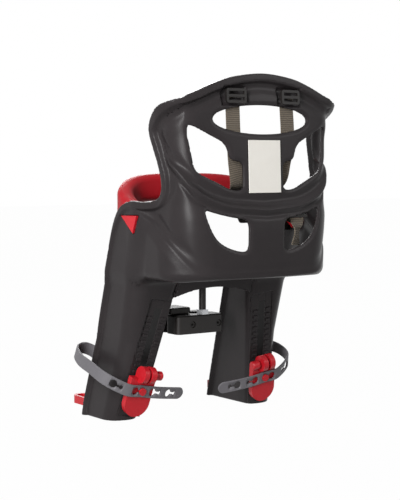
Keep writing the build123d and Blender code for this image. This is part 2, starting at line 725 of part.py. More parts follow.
def clamp_bolts():
    """Two socket head bolts from the rear jaw to the nuts."""
    seat = REAR_JAW_Y - HEAD_RECESS
    length = seat - FRONT_JAW_Y
    bolts = []
    for side in (-1, 1):
        place = Pos(side * BOLT_X, seat, 0) * Rot(90, 0, 0)
        shank = place * Pos(0, 0, length / 2) * Cylinder(BOLT_RADIUS, length)
        head = place * Pos(0, 0, -HEAD_HEIGHT / 2) * Cylinder(HEAD_RADIUS, HEAD_HEIGHT)
        key = extrude(RegularPolygon(HEAD_RADIUS / 2, 6), -HEAD_HEIGHT / 2)
        bolts.append(shank + head - place * Pos(0, 0, -HEAD_HEIGHT / 2) * key)
    return bolts[0] + bolts[1]


def clamp_nuts():
    """Nuts of the two clamp bolts, in the front jaw."""
    nut = hexagon_nut(NUT_FLATS, NUT_HEIGHT, BOLT_RADIUS + BOLT_CLEARANCE)
    nuts = [Pos(side * BOLT_X, FRONT_JAW_Y, 0) * Rot(90, 0, 0) * Rot(0, 180, 0) * nut for side in (-1, 1)]
    return nuts[0] + nuts[1]


def support_post():
    """Steel post from the rear jaw up into the socket under the pan."""
    top = SHELL_BOTTOM - WALL
    return Pos(0, POST_Y, (top + POST_FOOT) / 2) * Cylinder(POST_RADIUS, top - POST_FOOT)


def post_nut():
    """Nut that holds the post down on the rear jaw."""
    nut = hexagon_nut(POST_NUT_FLATS, POST_NUT_HEIGHT, POST_RADIUS + BOLT_CLEARANCE)
    return Pos(0, POST_Y, JAW_HALF_HEIGHT) * nut


def mount_socket():
    """Block screwed under the pan, which takes the post."""
    body = socket_block(0.0)
    body = fillet(body.edges().filter_by(Axis.Z), SOCKET_RADIUS)
    top = SHELL_BOTTOM - WALL
    hole = Pos(0, POST_Y, (SOCKET_BOTTOM + top) / 2)
    body -= hole * Cylinder(POST_RADIUS + BOLT_CLEARANCE, top - SOCKET_BOTTOM)
    for across, along in SCREW_PLACES:
        bore = Cylinder(SCREW_RADIUS + BOLT_CLEARANCE, 2 * SCREW_BITE)
        body -= Pos(across, along, SHELL_BOTTOM) * bore
    return body


def mount_screws():
    """Screws from the pan down into the socket."""
    screws = Part()
    top = SHELL_BOTTOM + WALL
    length = SCREW_BITE + WALL
    for across, along in SCREW_PLACES:
        shank = Pos(across, along, top - length / 2) * Cylinder(SCREW_RADIUS, length)
        head = Pos(across, along, top + SCREW_HEAD_HEIGHT / 2)
        screws += shank + head * Cylinder(SCREW_HEAD_RADIUS, SCREW_HEAD_HEIGHT)
    return screws


def strap_adjuster():
    """Left three-bar slide that holds the shoulder strap behind the back."""
    upper, turn = bucket_rear(ADJUSTER_X, ADJUSTER_Z + ADJUSTER_HEIGHT / 2)
    lower, turn = bucket_rear(ADJUSTER_X, ADJUSTER_Z - ADJUSTER_HEIGHT / 2)
    lean = math.degrees(math.atan2(lower - upper, ADJUSTER_HEIGHT))
    frame = RectangleRounded(ADJUSTER_WIDTH, ADJUSTER_HEIGHT, ADJUSTER_BAR)
    window = (ADJUSTER_HEIGHT - 3 * ADJUSTER_BAR) / 2
    for side in (-1, 1):
        place = Pos(0, side * (window + ADJUSTER_BAR) / 2)
        frame -= place * Rectangle(ADJUSTER_WIDTH - 2 * ADJUSTER_BAR, window)
    slide = extrude(Plane.XZ * frame, -ADJUSTER_THICK)
    place = Pos(ADJUSTER_X, (upper + lower) / 2 + 2 * WEB_GAP, ADJUSTER_Z)
    return place * Rot(lean, 0, turn) * slide


def behind_back(across, height):
    """Point of a strap lying on the inner face of the back."""
    rear, turn = bucket_rear(across, height)
    return (across, rear - WALL - WEB_THICK, height)


def shoulder_strap():
    """Left shoulder strap: through the slot, down the back and forward to the shield."""
    rear, turn = bucket_rear(ADJUSTER_X, ADJUSTER_Z)
    points = [
        (ADJUSTER_X, rear - WALL / 2, ADJUSTER_Z),
        (ADJUSTER_X, rear - WALL - 2 * WEB_THICK, ADJUSTER_Z - 4.0),
        behind_back(ADJUSTER_X, ADJUSTER_Z - 16.0),
        behind_back(ADJUSTER_X, SHOULDER_BEND_Z),
        *SHOULDER_PATH,
        (SHOULDER_END_X, SHIELD_Y, SHIELD_TOP + WEB_END_RUN),
        (SHOULDER_END_X, SHIELD_Y, SHIELD_TOP + WEB_GAP),
    ]
    return band(points, WEB_WIDTH, WEB_THICK, Vector(1, 0, 0))


def harness_shield():
    """Plate at the lower end of both shoulder straps, narrower to the bottom."""
    top, bottom = SHIELD_TOP_HALF, SHIELD_BOTTOM_HALF
    points = [(-top, SHIELD_TOP), (top, SHIELD_TOP), (bottom, SHIELD_BOTTOM), (-bottom, SHIELD_BOTTOM)]
    face = make_face(Polyline(*points, close=True).edges())
    face = fillet(face.vertices(), SHIELD_RADIUS)
    return Pos(0, SHIELD_Y, 0) * extrude(Plane.XZ * face, SHIELD_THICK / 2, both=True)


def waist_slide():
    """Bar behind the right lower opening, over which the waist strap runs."""
    slide = Box(*SLIDE_SIZE)
    return Pos(SLIDE_X, SLIDE_Y, SLIDE_Z) * chamfer(slide.edges().filter_by(Axis.X), SLIDE_SIZE[1] / 5)


def waist_strap():
    """Waist strap: from the shield round the right hip to the slide."""
    start_y = SHIELD_Y - SHIELD_THICK / 2 - WEB_GAP - WEB_THICK / 2
    height = (SHIELD_TOP + SHIELD_BOTTOM) / 2 + SHIELD_RADIUS
    points = [
        (-SHIELD_BOTTOM_HALF, start_y, height),
        (-SHIELD_TOP_HALF, start_y, height),
        *WAIST_PATH,
        (SLIDE_X, SLIDE_Y - SLIDE_SIZE[1] / 2 - WEB_THICK / 2 - WEB_GAP, SLIDE_Z),
    ]
    return band(points, WEB_WIDTH, WEB_THICK, Vector(0, 0, 1))


def strap_tail():
    """Tail of the waist strap, hanging from the slide through the right lower opening."""
    top = SLIDE_Z - SLIDE_SIZE[2] / 2 - WEB_GAP
    points = [(SLIDE_X, SLIDE_Y, top), (SLIDE_X, SLIDE_Y, top - WEB_END_RUN), *TAIL_PATH]
    return band(points, WEB_WIDTH, WEB_THICK, Vector(1, 0, 0))


def crotch_strap():
    """Strap from the slot in the pan forward to the buckle."""
    end = BUCKLE_Y + BUCKLE_LENGTH / 2
    points = [
        (0.0, CROTCH_Y, SHELL_BOTTOM + WALL / 2),
        (0.0, CROTCH_Y, SHELL_BOTTOM + 2 * WALL),
        (0.0, CROTCH_Y - WEB_END_RUN, BUCKLE_Z),
        (0.0, end + WEB_END_RUN, BUCKLE_Z),
        (0.0, end + WEB_GAP, BUCKLE_Z),
    ]
    return band(points, WEB_WIDTH, WEB_THICK, Vector(1, 0, 0))


def button_block(grow, top, depth):
    """Block of the release button from its top face down, grown round its sides."""
    size = BUCKLE_BUTTON + 2 * grow
    return Pos(0, BUCKLE_Y, top - depth / 2) * Box(size, size, depth)


def buckle_socket():
    """Buckle body lying on the pan, with the mouth for the shield and the pocket of its button."""
    body = Pos(0, BUCKLE_Y, BUCKLE_Z) * Box(BUCKLE_WIDTH, BUCKLE_LENGTH, BUCKLE_THICK)
    body = fillet(body.edges().filter_by(Axis.Z), BUCKLE_RADIUS)
    mouth = Pos(0, BUCKLE_Y - BUCKLE_LENGTH / 2, BUCKLE_Z - MOUTH_DROP)
    body -= mouth * Box(2 * MOUTH_HALF, 2 * MOUTH_DEPTH, SHIELD_THICK + 2 * CLEARANCE)
    top = BUCKLE_Z + BUCKLE_THICK / 2
    return body - button_block(CLEARANCE, top, BUTTON_DEPTH + BUCKLE_TRAVEL + CLEARANCE)


def buckle_button():
    """Release button in the top of the buckle."""
    top = BUCKLE_Z + BUCKLE_THICK / 2 + BUTTON_PROUD
    return button_block(0.0, top, BUTTON_PROUD + BUTTON_DEPTH)


SINGLE = (
    seat_shell,
    front_bar,
    clamp_rear_jaw,
    clamp_front_jaw,
    clamp_bolts,
    clamp_nuts,
    support_post,
    post_nut,
    mount_socket,
    mount_screws,
    harness_shield,
    waist_slide,
    waist_strap,
    strap_tail,
    crotch_strap,
    buckle_socket,
    buckle_button,
)
PAIRED = (
    bar_latch,
    footrest,
    footrest_lock,
    release_button,
    foot_strap,
    strap_adjuster,
    shoulder_strap,
)

os.makedirs("parts", exist_ok=True)
for make in SINGLE:
    export_step(make(), f"parts/{make.__name__}.step")
for make in PAIRED:
    left = make()
    export_step(left, f"parts/left_{make.__name__}.step")
    export_step(mirror(left, about=Plane.YZ), f"parts/right_{make.__name__}.step")
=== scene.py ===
import math

import bmesh
import bpy
import numpy as np
from mathutils import Matrix, Vector


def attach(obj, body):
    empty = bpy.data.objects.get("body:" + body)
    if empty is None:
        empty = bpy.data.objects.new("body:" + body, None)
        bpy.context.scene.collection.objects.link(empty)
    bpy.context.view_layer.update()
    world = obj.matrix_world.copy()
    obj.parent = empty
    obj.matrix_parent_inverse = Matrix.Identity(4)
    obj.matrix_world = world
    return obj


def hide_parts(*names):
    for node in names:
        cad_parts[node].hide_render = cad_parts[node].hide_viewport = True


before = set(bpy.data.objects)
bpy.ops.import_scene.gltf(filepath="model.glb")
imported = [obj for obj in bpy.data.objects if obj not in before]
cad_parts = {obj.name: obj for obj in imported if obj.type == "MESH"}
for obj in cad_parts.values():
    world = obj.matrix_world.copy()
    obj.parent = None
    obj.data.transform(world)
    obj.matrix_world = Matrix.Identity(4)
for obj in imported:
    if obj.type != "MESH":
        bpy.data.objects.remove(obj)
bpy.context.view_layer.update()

# All shape sizes are in millimetres, in the frame of the part, and become metres when a mesh is made
MM = 0.001

# Shell walls, thicker above the pan than in the legs
WALL = 4.0
THICK_Z = (70.0, 100.0)
THICK = (WALL + 0.7, WALL + 1.0)
SHELL_TOP = 397.0
SHELL_BOTTOM = 87.0
BOTTOM_RADIUS = 10.0
BACK_CROWN = 14.0
FLOW = 26.0
EDGE_ROUND = 2.2

# Rim: a lip along the free edge, narrower on the legs, with a groove inside it on the wings
PROUD = 6.0
DEEPEST = 3.5
LEG_LIP = 6.0
RIM_WIDTH = 13.0
RIM_WIDENS = (150.0, 195.0)
LIP_SLOPE = 3.0
RIM_GROOVE = 3.0
RIM_GROOVE_PLACE = 9.0
RIM_GROOVE_WIDTH = 8.0
RIM_GROOVE_RISE = (200.0, 230.0)

# Bucket stations: height, half width, rear reach, corner radius
BUCKET = (
    (60.0, 142.0, 200.0, 50.0),
    (101.0, 142.0, 200.0, 50.0),
    (159.0, 145.0, 202.0, 46.0),
    (181.0, 145.0, 201.0, 42.0),
    (200.0, 143.0, 195.0, 34.0),
    (222.0, 142.0, 193.0, 28.0),
    (270.0, 147.0, 191.0, 33.0),
    (300.0, 151.0, 190.0, 40.0),
    (330.0, 157.0, 188.5, 39.0),
    (360.0, 169.0, 187.0, 36.0),
    (417.0, 178.0, 183.0, 36.0),
)
STATION_Z = np.arange(-200.0, 440.0, 1.0)
SOFT_SPAN = 25

# Rim seen from the side (Y, Z), front edge of pan and inner walls (Y, Z), crown seen from behind (X, Z)
RIM_CURVE = (
    (176.0, 361.0),
    (140.0, 342.0),
    (118.0, 325.0),
    (110.5, 303.0),
    (124.0, 260.0),
    (129.5, 236.0),
    (126.0, 214.0),
    (114.0, 205.0),
    (95.0, 202.0),
    (66.0, 203.0),
    (36.0, 188.0),
    (9.0, 139.0),
    (-38.0, 10.0),
    (-70.0, -112.0),
    (-75.0, -149.0),
)
POMMEL_CURVE = ((60.0, 190.0), (12.0, 95.0), (-26.0, 20.0), (-112.0, -149.0))
CROWN_CURVE = (
    (0.0, SHELL_TOP),
    (54.0, 391.0),
    (91.0, 380.0),
    (119.0, 368.5),
    (141.0, 361.0),
    (165.0, 356.0),
    (200.0, 345.0),
)
FAR = 300.0
FAR_UP = 450.0

# Legs
LEG_FOOT = -149.0
LEG_TOP = 206.0
LEG_REAR_AT_ZERO = 47.4
LEG_REAR_SLOPE = 0.265
LEG_INNER_AT_ZERO = 82.6
LEG_INNER_SLOPE = -0.191
LEG_OUTER_Z = (LEG_FOOT, -22.0, 63.0, LEG_TOP)
LEG_OUTER_X = (164.0, 152.0, 154.0, 160.0)
LEG_OUTER_RADIUS = 28.0
LEG_INNER_RADIUS = 15.0
CHANNEL_MIDDLE = 118.0

# Ears: height from which the rim fades into the back, how far, and where (X)
EAR_FOOT = 250.0
EAR_FADE = 40.0
EAR_RISE = (CHANNEL_MIDDLE - 12.0, CHANNEL_MIDDLE + 26.0)
EAR_RADIUS = 12.0

# Skirts under the pan and the room of the stem
SKIRT_EDGE = 46.0
SKIRT_ARCH = 62.0
FRONT_SKIRT_EDGE = 66.0
SKIRT_FILLET = 4.0
STEM_ROOM = 18.0
STEM_TOP = 140.0

# Belt ridge by the way round the back from its middle, with its hill and grooves: height, place, width
BELT_CURVE = (
    (0.0, 190.5),
    (60.0, 195.5),
    (89.0, 202.5),
    (110.0, 212.0),
    (124.0, 222.0),
    (142.0, 237.0),
    (163.0, 252.0),
    (200.0, 276.0),
)
BELT_TURN_Y = 180.0
BELT_HILLS = ((5.0, 0.0, 5.0), (-2.5, -10.0, 4.0), (-3.0, 13.0, 7.0))
BELT_START = (RIM_WIDTH, RIM_WIDTH + 14.0)
BELT_FRONT = (90.0, 120.0)

# Saddle line (Y, Z), the step and groove along it, and how far it widens the bucket
SADDLE_CURVE = (
    (40.0, 214.0),
    (107.0, 176.0),
    (140.0, 152.0),
    (162.0, 132.0),
    (180.0, 109.0),
    (190.0, 98.0),
    (200.0, 90.0),
    (225.0, 80.0),
)
SADDLE_PROUD = 5.0
SADDLE_STEP = (-2.0, 5.0)
SADDLE_GROOVE = 2.0
SADDLE_GROOVE_PLACE = 7.0
SADDLE_GROOVE_WIDTH = 6.0
SADDLE_FOOT = (70.0, 84.0)
SADDLE_FRONT = (50.0, 100.0)
SADDLE_REAR = (150.0, 190.0)
SADDLE_REAR_LOSS = 0.6
SADDLE_WIDEN = 8.0
SADDLE_WIDEN_RISE = (-4.0, 20.0)
SADDLE_WIDEN_END = (130.0, 180.0)

# Window of the bar latch in the side wall (Y, Z)
LATCH_FACE = ((42.0, 180.0), (86.0, 181.0), (75.0, 154.0))
LATCH_ROOM = 0.8
LATCH_ROUND = 1.0

# Openings in the back (X, Z): an ellipse by its height and half sizes, and two outlines
BACK_Y = 125.0
ELLIPSE = (327.0, 90.0, 22.0)
ELLIPSE_POINTS = 60
UPPER_OPENING = (
    (132.0, 321.0),
    (67.0, 290.0),
    (60.0, 264.0),
    (38.0, 264.0),
    (38.0, 220.0),
    (58.0, 220.0),
    (121.0, 249.0),
)
LOWER_OPENING = (
    (109.0, 192.0),
    (85.0, 184.5),
    (60.0, 179.0),
    (34.0, 176.0),
    (34.0, 127.0),
    (53.0, 128.5),
    (74.0, 135.5),
    (90.0, 146.5),
    (99.5, 160.5),
    (106.0, 177.0),
)
OPENING_CORNER = 12.0
OPENING_ROUND = 1.5
OPENING_DIP = 1.5
OPENING_DIP_WIDTH = 6.0

# Recesses behind the strap adjusters
ADJUSTER_X = 51.6
ADJUSTER_Z = 362.0
RECESS_HALF_X = 22.0
RECESS_HALF_Z = 14.0
RECESS_DEPTH = 4.0
RECESS_SLOPE = 2.5

# Areas and steps of the distance tables
SIDE_AREA = ((-130.0, -170.0), (230.0, 420.0), 2.0)
CROWN_AREA = ((-4.0, -170.0), (190.0, 420.0), 2.0)
OPENING_AREA = ((-4.0, 100.0), (150.0, 410.0), 1.0)
LATCH_AREA = ((20.0, 130.0), (110.0, 205.0), 1.0)

# Grid of the shell's mesh, and how its points are pulled onto the surface
GRID = 2.7
GRID_HALF = 64.5 * GRID
GRID_LOW = (-GRID_HALF, -119.0, -153.0)
GRID_HIGH = (GRID_HALF, 214.0, 402.0)
SLOPE_REACH = 0.4
PULLS = 3
LEAST_SLOPE = 0.05
LONGEST_PULL = 0.6

# Rack on the rear wall of the left leg, with its slot and teeth
RACK_X = 105.9
RACK_Z = 9.0
RACK_HALF = 20.0
RACK_TOP = 38.0
RACK_BOTTOM = -158.0
RACK_DEPTH = 2.6
RACK_LAP = 1.6
RACK_BEHIND = 0.9
RACK_ROUND = 2.0
SLOT_HALF = 7.0
SLOT_TOP = 24.0
SLOT_BOTTOM = -146.0
TOOTH_PITCH = 10.0
TOOTH_COUNT = 13
TOOTH_WIDE = 9.0
TOOTH_TALL = 4.5
TOOTH_SUNK = 0.2
TOOTH_GAP = 1.0

RACK_OUT = np.array((0.0, 1.0, -LEG_REAR_SLOPE))
RACK_OUT /= np.linalg.norm(RACK_OUT)
RACK_UP = np.array((-0.152, 0.253, 0.955))
RACK_UP -= RACK_OUT * (RACK_UP @ RACK_OUT)
RACK_UP /= np.linalg.norm(RACK_UP)
RACK_IN = np.cross(RACK_UP, RACK_OUT)
RACK_ORIGIN = np.array((RACK_X, LEG_REAR_AT_ZERO + LEG_REAR_SLOPE * RACK_Z, RACK_Z))


def on_rack(across, along, out):
    """Point at rack coordinates: inwards, up the leg, to the rear."""
    return RACK_ORIGIN + across * RACK_IN + along * RACK_UP + out * RACK_OUT


# Curves and tables of distances
def smooth_curve(points, per=10):
    """Points of a smooth curve through the given ones."""
    points = np.array(points, float)
    padded = np.vstack([2 * points[0] - points[1], points, 2 * points[-1] - points[-2]])
    share = np.arange(per)[:, None] / per
    made = []
    for a, b, c, d in zip(padded, padded[1:], padded[2:], padded[3:]):
        turn = 2 * a - 5 * b + 4 * c - d
        twist = 3 * b - a - 3 * c + d
        made.append(b + 0.5 * ((c - a) * share + turn * share**2 + twist * share**3))
    return np.vstack(made + [points[-1:]])


def mirrored_curve(points):
    """Curve that starts in the middle plane, with its mirror image before it."""
    return [(-point[0], *point[1:]) for point in points[:0:-1]] + list(points)


def rounded_loop(points, reach, per=5):
    """Closed outline with its corners rounded from the given way before them."""
    points = np.array(points, float)
    made = []
    for before, here, after in zip(np.roll(points, 1, 0), points, np.roll(points, -1, 0)):
        to_before = np.linalg.norm(before - here)
        to_after = np.linalg.norm(after - here)
        way = min(reach, to_before / 2, to_after / 2)
        start = here + (before - here) / to_before * way
        end = here + (after - here) / to_after * way
        for share in np.linspace(0, 1, per):
            made.append((1 - share) ** 2 * start + 2 * share * (1 - share) * here + share**2 * end)
    return np.array(made)


def signed_field(loop, low, high, step):
    """Table of distances to a closed outline, negative inside it."""
    first = np.arange(low[0], high[0] + step, step)
    second = np.arange(low[1], high[1] + step, step)
    a, b = np.meshgrid(first, second, indexing="ij")
    nearest = np.full(a.shape, np.inf)
    inside = np.zeros(a.shape, bool)
    for (ax, ay), (bx, by) in zip(loop, np.roll(loop, -1, 0)):
        run_x = bx - ax
        run_y = by - ay
        length = max(run_x**2 + run_y**2, 1e-12)
        share = np.clip(((a - ax) * run_x + (b - ay) * run_y) / length, 0, 1)
        nearest = np.minimum(nearest, (a - ax - share * run_x) ** 2 + (b - ay - share * run_y) ** 2)
        if ay != by:
            inside ^= ((ay > b) != (by > b)) & (a < ax + (b - ay) * run_x / run_y)
    distance = np.sqrt(nearest)
    return low, step, np.where(inside, -distance, distance)


def lookup(field, a, b):
    """Distances from a table at the given places."""
    low, step, table = field
    u = np.clip((a - low[0]) / step, 0, table.shape[0] - 1.001)
    v = np.clip((b - low[1]) / step, 0, table.shape[1] - 1.001)
    i = u.astype(int)
    j = v.astype(int)
    u = u - i
    v = v - j
    near = table[i, j] * (1 - u) + table[i + 1, j] * u
    far = table[i, j + 1] * (1 - u) + table[i + 1, j + 1] * u
    return near * (1 - v) + far * v


def side_field(points):
    """Side view: what lies behind a front edge."""
    curve = smooth_curve(points)
    loop = [(FAR, FAR_UP), (curve[0][0], FAR_UP), *curve, (curve[-1][0], -FAR), (FAR, -FAR)]
    return signed_field(np.array(loop), *SIDE_AREA)


def crown_field():
    """Rear view: what lies under the crown."""
    crown = smooth_curve(mirrored_curve(CROWN_CURVE))
    loop = [*crown, (FAR, crown[-1][1]), (FAR, -FAR), (-FAR, -FAR), (-FAR, crown[0][1])]
    return signed_field(np.array(loop), *CROWN_AREA)


def opening_field():
    """Rear view: the openings of the left half of the back."""
    turn = np.linspace(0, 2 * math.pi, ELLIPSE_POINTS, endpoint=False)
    height, wide, tall = ELLIPSE
    ellipse = np.stack([wide * np.cos(turn), height + tall * np.sin(turn)], 1)
    low, step, table = signed_field(ellipse, *OPENING_AREA)
    for loop in (UPPER_OPENING, LOWER_OPENING):
        rounded = rounded_loop(loop, OPENING_CORNER)
        table = np.minimum(table, signed_field(rounded, *OPENING_AREA)[2])
    return low, step, table


def soft_table(column):
    """Values of one column of the stations at each millimetre of height, smoothed."""
    raw = np.interp(STATION_Z, [s[0] for s in BUCKET], [s[column] for s in BUCKET])
    soften = np.hanning(SOFT_SPAN) / np.hanning(SOFT_SPAN).sum()
    return np.convolve(np.pad(raw, SOFT_SPAN // 2, mode="edge"), soften, mode="valid")


SIDE = side_field(RIM_CURVE)
POMMEL = side_field(POMMEL_CURVE)
LATCH = signed_field(np.array(LATCH_FACE), *LATCH_AREA)
CROWN = crown_field()
OPENINGS = opening_field()
HALF_TABLE, REAR_TABLE, CORNER_TABLE = (soft_table(column) for column in (1, 2, 3))
BELT_LINE = smooth_curve(BELT_CURVE)
SADDLE_LINE = smooth_curve(SADDLE_CURVE)


# Moulded shell as a distance
def ramp(value, low, high):
    """Smooth rise from 0 at low to 1 at high."""
    share = np.clip((value - low) / (high - low), 0, 1)
    return share * share * (3 - 2 * share)


def bump(value, width):
    """Soft hill of height 1."""
    return np.exp(-((value / width) ** 2))


def round_max(a, b, radius):
    """What is in both, with the edge between them rounded."""
    corner = np.hypot(np.maximum(a + radius, 0), np.maximum(b + radius, 0))
    return np.minimum(-radius, np.maximum(a, b)) + corner


def round_min(a, b, radius):
    """What is in either, with a fillet between them."""
    return -round_max(-a, -b, radius)


def above_line(line, along, up):
    """Distance above a line on the wall, square to the line."""
    slope = np.gradient(line[:, 1], line[:, 0])
    lean = 1 / np.hypot(1, np.interp(along, line[:, 0], slope))
    return (up - np.interp(along, line[:, 0], line[:, 1])) * lean


def behind_leg(y, z):
    """Distance behind the rear wall of the legs."""
    return (y - LEG_REAR_AT_ZERO - LEG_REAR_SLOPE * z) / math.hypot(1, LEG_REAR_SLOPE)


def body_distance(x, y, z, saddle):
    """Distance to the plain outside of bucket and leg, flowing into each other."""
    widen = SADDLE_WIDEN * ramp(saddle, *SADDLE_WIDEN_RISE) * (1 - ramp(y, *SADDLE_WIDEN_END))
    half = np.interp(z, STATION_Z, HALF_TABLE) + widen
    rear = np.interp(z, STATION_Z, REAR_TABLE)
    radius = (half**2 + BACK_CROWN**2) / (2 * BACK_CROWN)
    back = np.hypot(x, y - rear + radius) - radius
    bucket = round_max(x - half, back, np.interp(z, STATION_Z, CORNER_TABLE))
    bucket = round_max(bucket, SHELL_BOTTOM - z, BOTTOM_RADIUS)

    inner = (LEG_INNER_AT_ZERO + LEG_INNER_SLOPE * z - x) / math.hypot(1, LEG_INNER_SLOPE)
    outer = x - np.interp(z, LEG_OUTER_Z, LEG_OUTER_X)
    behind = behind_leg(y, z)
    leg = round_max(outer, behind, LEG_OUTER_RADIUS)
    leg = np.maximum(leg, round_max(inner, behind, LEG_INNER_RADIUS))
    leg = np.maximum(leg, z - LEG_TOP)
    return round_min(bucket, leg, FLOW)


def edge_distance(x, y, z, pommel):
    """Distance to the free edge of the shell, negative behind it."""
    side = lookup(SIDE, y, z)
    ear = side - EAR_FADE * (1 - ramp(x, *EAR_RISE))
    front = np.where(x > CHANNEL_MIDDLE, side, pommel)
    return round_max(np.where(z > EAR_FOOT, ear, front), lookup(CROWN, x, z), EAR_RADIUS)


def relief(x, y, z, edge, saddle):
    """How far rim, belt ridge and saddle stand proud of the plain outside, less their grooves."""
    rim = np.interp(z, RIM_WIDENS, (LEG_LIP, RIM_WIDTH))
    lip = 1 - ramp(-edge, rim - LIP_SLOPE, rim + LIP_SLOPE)
    belt = above_line(BELT_LINE, x + np.maximum(0, BELT_TURN_Y - y), z)
    ridge = sum(height * bump(belt - place, width) for height, place, width in BELT_HILLS)
    ridge *= ramp(-edge, *BELT_START) * ramp(y, *BELT_FRONT)
    step = SADDLE_PROUD * ramp(saddle, *SADDLE_STEP)
    step -= SADDLE_GROOVE * bump(saddle + SADDLE_GROOVE_PLACE, SADDLE_GROOVE_WIDTH)
    step *= ramp(z, *SADDLE_FOOT) * ramp(y, *SADDLE_FRONT)
    step *= 1 - SADDLE_REAR_LOSS * ramp(y, *SADDLE_REAR)
    groove = RIM_GROOVE * bump(-edge - rim - RIM_GROOVE_PLACE, RIM_GROOVE_WIDTH)
    groove *= ramp(z, *RIM_GROOVE_RISE)
    return np.maximum(PROUD * lip + (ridge + step) * (1 - lip) - groove, -DEEPEST)


def back_dip(x, z, opening):
    """How far the back sinks beside its openings and behind the strap adjusters."""
    recess = np.maximum(np.abs(x - ADJUSTER_X) - RECESS_HALF_X, np.abs(z - ADJUSTER_Z) - RECESS_HALF_Z)
    beside = OPENING_DIP * (1 - ramp(opening, 0, OPENING_DIP_WIDTH))
    return beside + RECESS_DEPTH * (1 - ramp(recess, -RECESS_SLOPE, RECESS_SLOPE))


def skirt_distance(x, y, z, pommel):
    """Distance to the front and rear skirts under the pan."""
    half = LEG_INNER_AT_ZERO + LEG_INNER_SLOPE * z + WALL / 2
    arch = SKIRT_ARCH - (SKIRT_ARCH - SKIRT_EDGE) * (x / LEG_INNER_AT_ZERO) ** 2
    rear = np.maximum(np.abs(behind_leg(y, z) + WALL / 2) - WALL / 2, arch - z)
    front = np.maximum(np.abs(pommel + WALL / 2) - WALL / 2, FRONT_SKIRT_EDGE - z)
    return np.maximum(np.minimum(rear, front), np.maximum(x - half, z - SHELL_BOTTOM - WALL))


def rack_room(x, y, z):
    """Distance to the room that a rack takes in the rear wall of its leg."""
    place = np.stack([x, y, z], 1) - RACK_ORIGIN
    along = place @ RACK_UP
    room = np.maximum(np.abs(place @ RACK_IN) - RACK_HALF, -place @ RACK_OUT - WALL - RACK_BEHIND)
    return np.maximum(room, np.maximum(along - RACK_TOP, RACK_BOTTOM - along))


def shell_distance(points):
    """Distance to the surface of the moulded shell, negative in its wall."""
    x = np.abs(points[:, 0])
    y = points[:, 1]
    z = points[:, 2]
    saddle = -above_line(SADDLE_LINE, y, z)
    pommel = lookup(POMMEL, y, z)
    opening = lookup(OPENINGS, x, z)
    at_back = y > BACK_Y
    body = body_distance(x, y, z, saddle)
    edge = edge_distance(x, y, z, pommel)
    raised = relief(x, y, z, edge, saddle) - np.where(at_back, back_dip(x, z, opening), 0)

    thick = np.interp(z, THICK_Z, THICK)
    distance = np.maximum(body - raised, np.minimum(raised, 0) - thick - body)
    distance = round_max(distance, edge, EDGE_ROUND)
    distance = np.where(at_back, round_max(distance, -opening, OPENING_ROUND), distance)
    latch = LATCH_ROOM - lookup(LATCH, y, z)
    distance = np.where(x > CHANNEL_MIDDLE, round_max(distance, latch, LATCH_ROUND), distance)
    distance = round_max(distance, LEG_FOOT - z, EDGE_ROUND)
    distance = round_min(distance, skirt_distance(x, y, z, pommel), SKIRT_FILLET)
    stem = np.maximum(np.hypot(x, y) - STEM_ROOM, z - STEM_TOP)
    distance = np.maximum(distance, -stem)
    return round_max(distance, -rack_room(x, y, z), RACK_ROUND)


# Mesh of a distance
def gradient(function, points):
    """Direction in which the distance grows fastest."""
    parts = []
    for axis in range(3):
        move = np.zeros(3)
        move[axis] = SLOPE_REACH
        parts.append((function(points + move) - function(points - move)) / (2 * SLOPE_REACH))
    return np.stack(parts, 1)


def grid_values(function, axes):
    """Distances at the corners of a grid."""
    values = np.empty(tuple(len(axis) for axis in axes))
    b, c = np.meshgrid(axes[1], axes[2], indexing="ij")
    for index, place in enumerate(axes[0]):
        slab = np.stack([np.full(b.size, place), b.ravel(), c.ravel()], 1)
        values[index] = function(slab).reshape(b.shape)
    return values


def crossing_points(values):
    """Sum and number of the places where the edges of each cell cross the surface, in cells."""
    inside = values < 0
    cells = tuple(n - 1 for n in values.shape)
    total = np.zeros(cells + (3,))
    count = np.zeros(cells)
    for start in np.ndindex(2, 2, 2):
        for axis in range(3):
            if start[axis]:
                continue
            end = list(start)
            end[axis] = 1
            near = tuple(slice(s, n + s) for s, n in zip(start, cells))
            far = tuple(slice(s, n + s) for s, n in zip(end, cells))
            crossing = inside[near] != inside[far]
            share = values[near][crossing] / (values[near][crossing] - values[far][crossing])
            place = np.tile(np.array(start, float), (len(share), 1))
            place[:, axis] = share
            total[crossing] += place
            count[crossing] += 1
    return total, count


def crossing_quads(inside, number):
    """Quads, facing out, between the four cells round each crossed edge of the grid."""
    quads = []
    for axis in range(3):
        others = [a for a in range(3) if a != axis]
        near = [slice(1, n - 1) for n in inside.shape]
        far = list(near)
        near[axis] = slice(0, inside.shape[axis] - 1)
        far[axis] = slice(1, inside.shape[axis])
        first = inside[tuple(near)]
        crossing = np.argwhere(first != inside[tuple(far)])
        leaving = first[tuple(crossing.T)]
        ring = []
        for da, db in ((0, 0), (1, 0), (1, 1), (0, 1)):
            cell = crossing.copy()
            cell[:, others[0]] += da
            cell[:, others[1]] += db
            ring.append(number[tuple(cell.T)])
        ring = np.stack(ring, 1)
        turned = leaving if axis == 1 else ~leaving
        ring[turned] = ring[turned][:, ::-1]
        quads.append(ring)
    return np.vstack(quads)


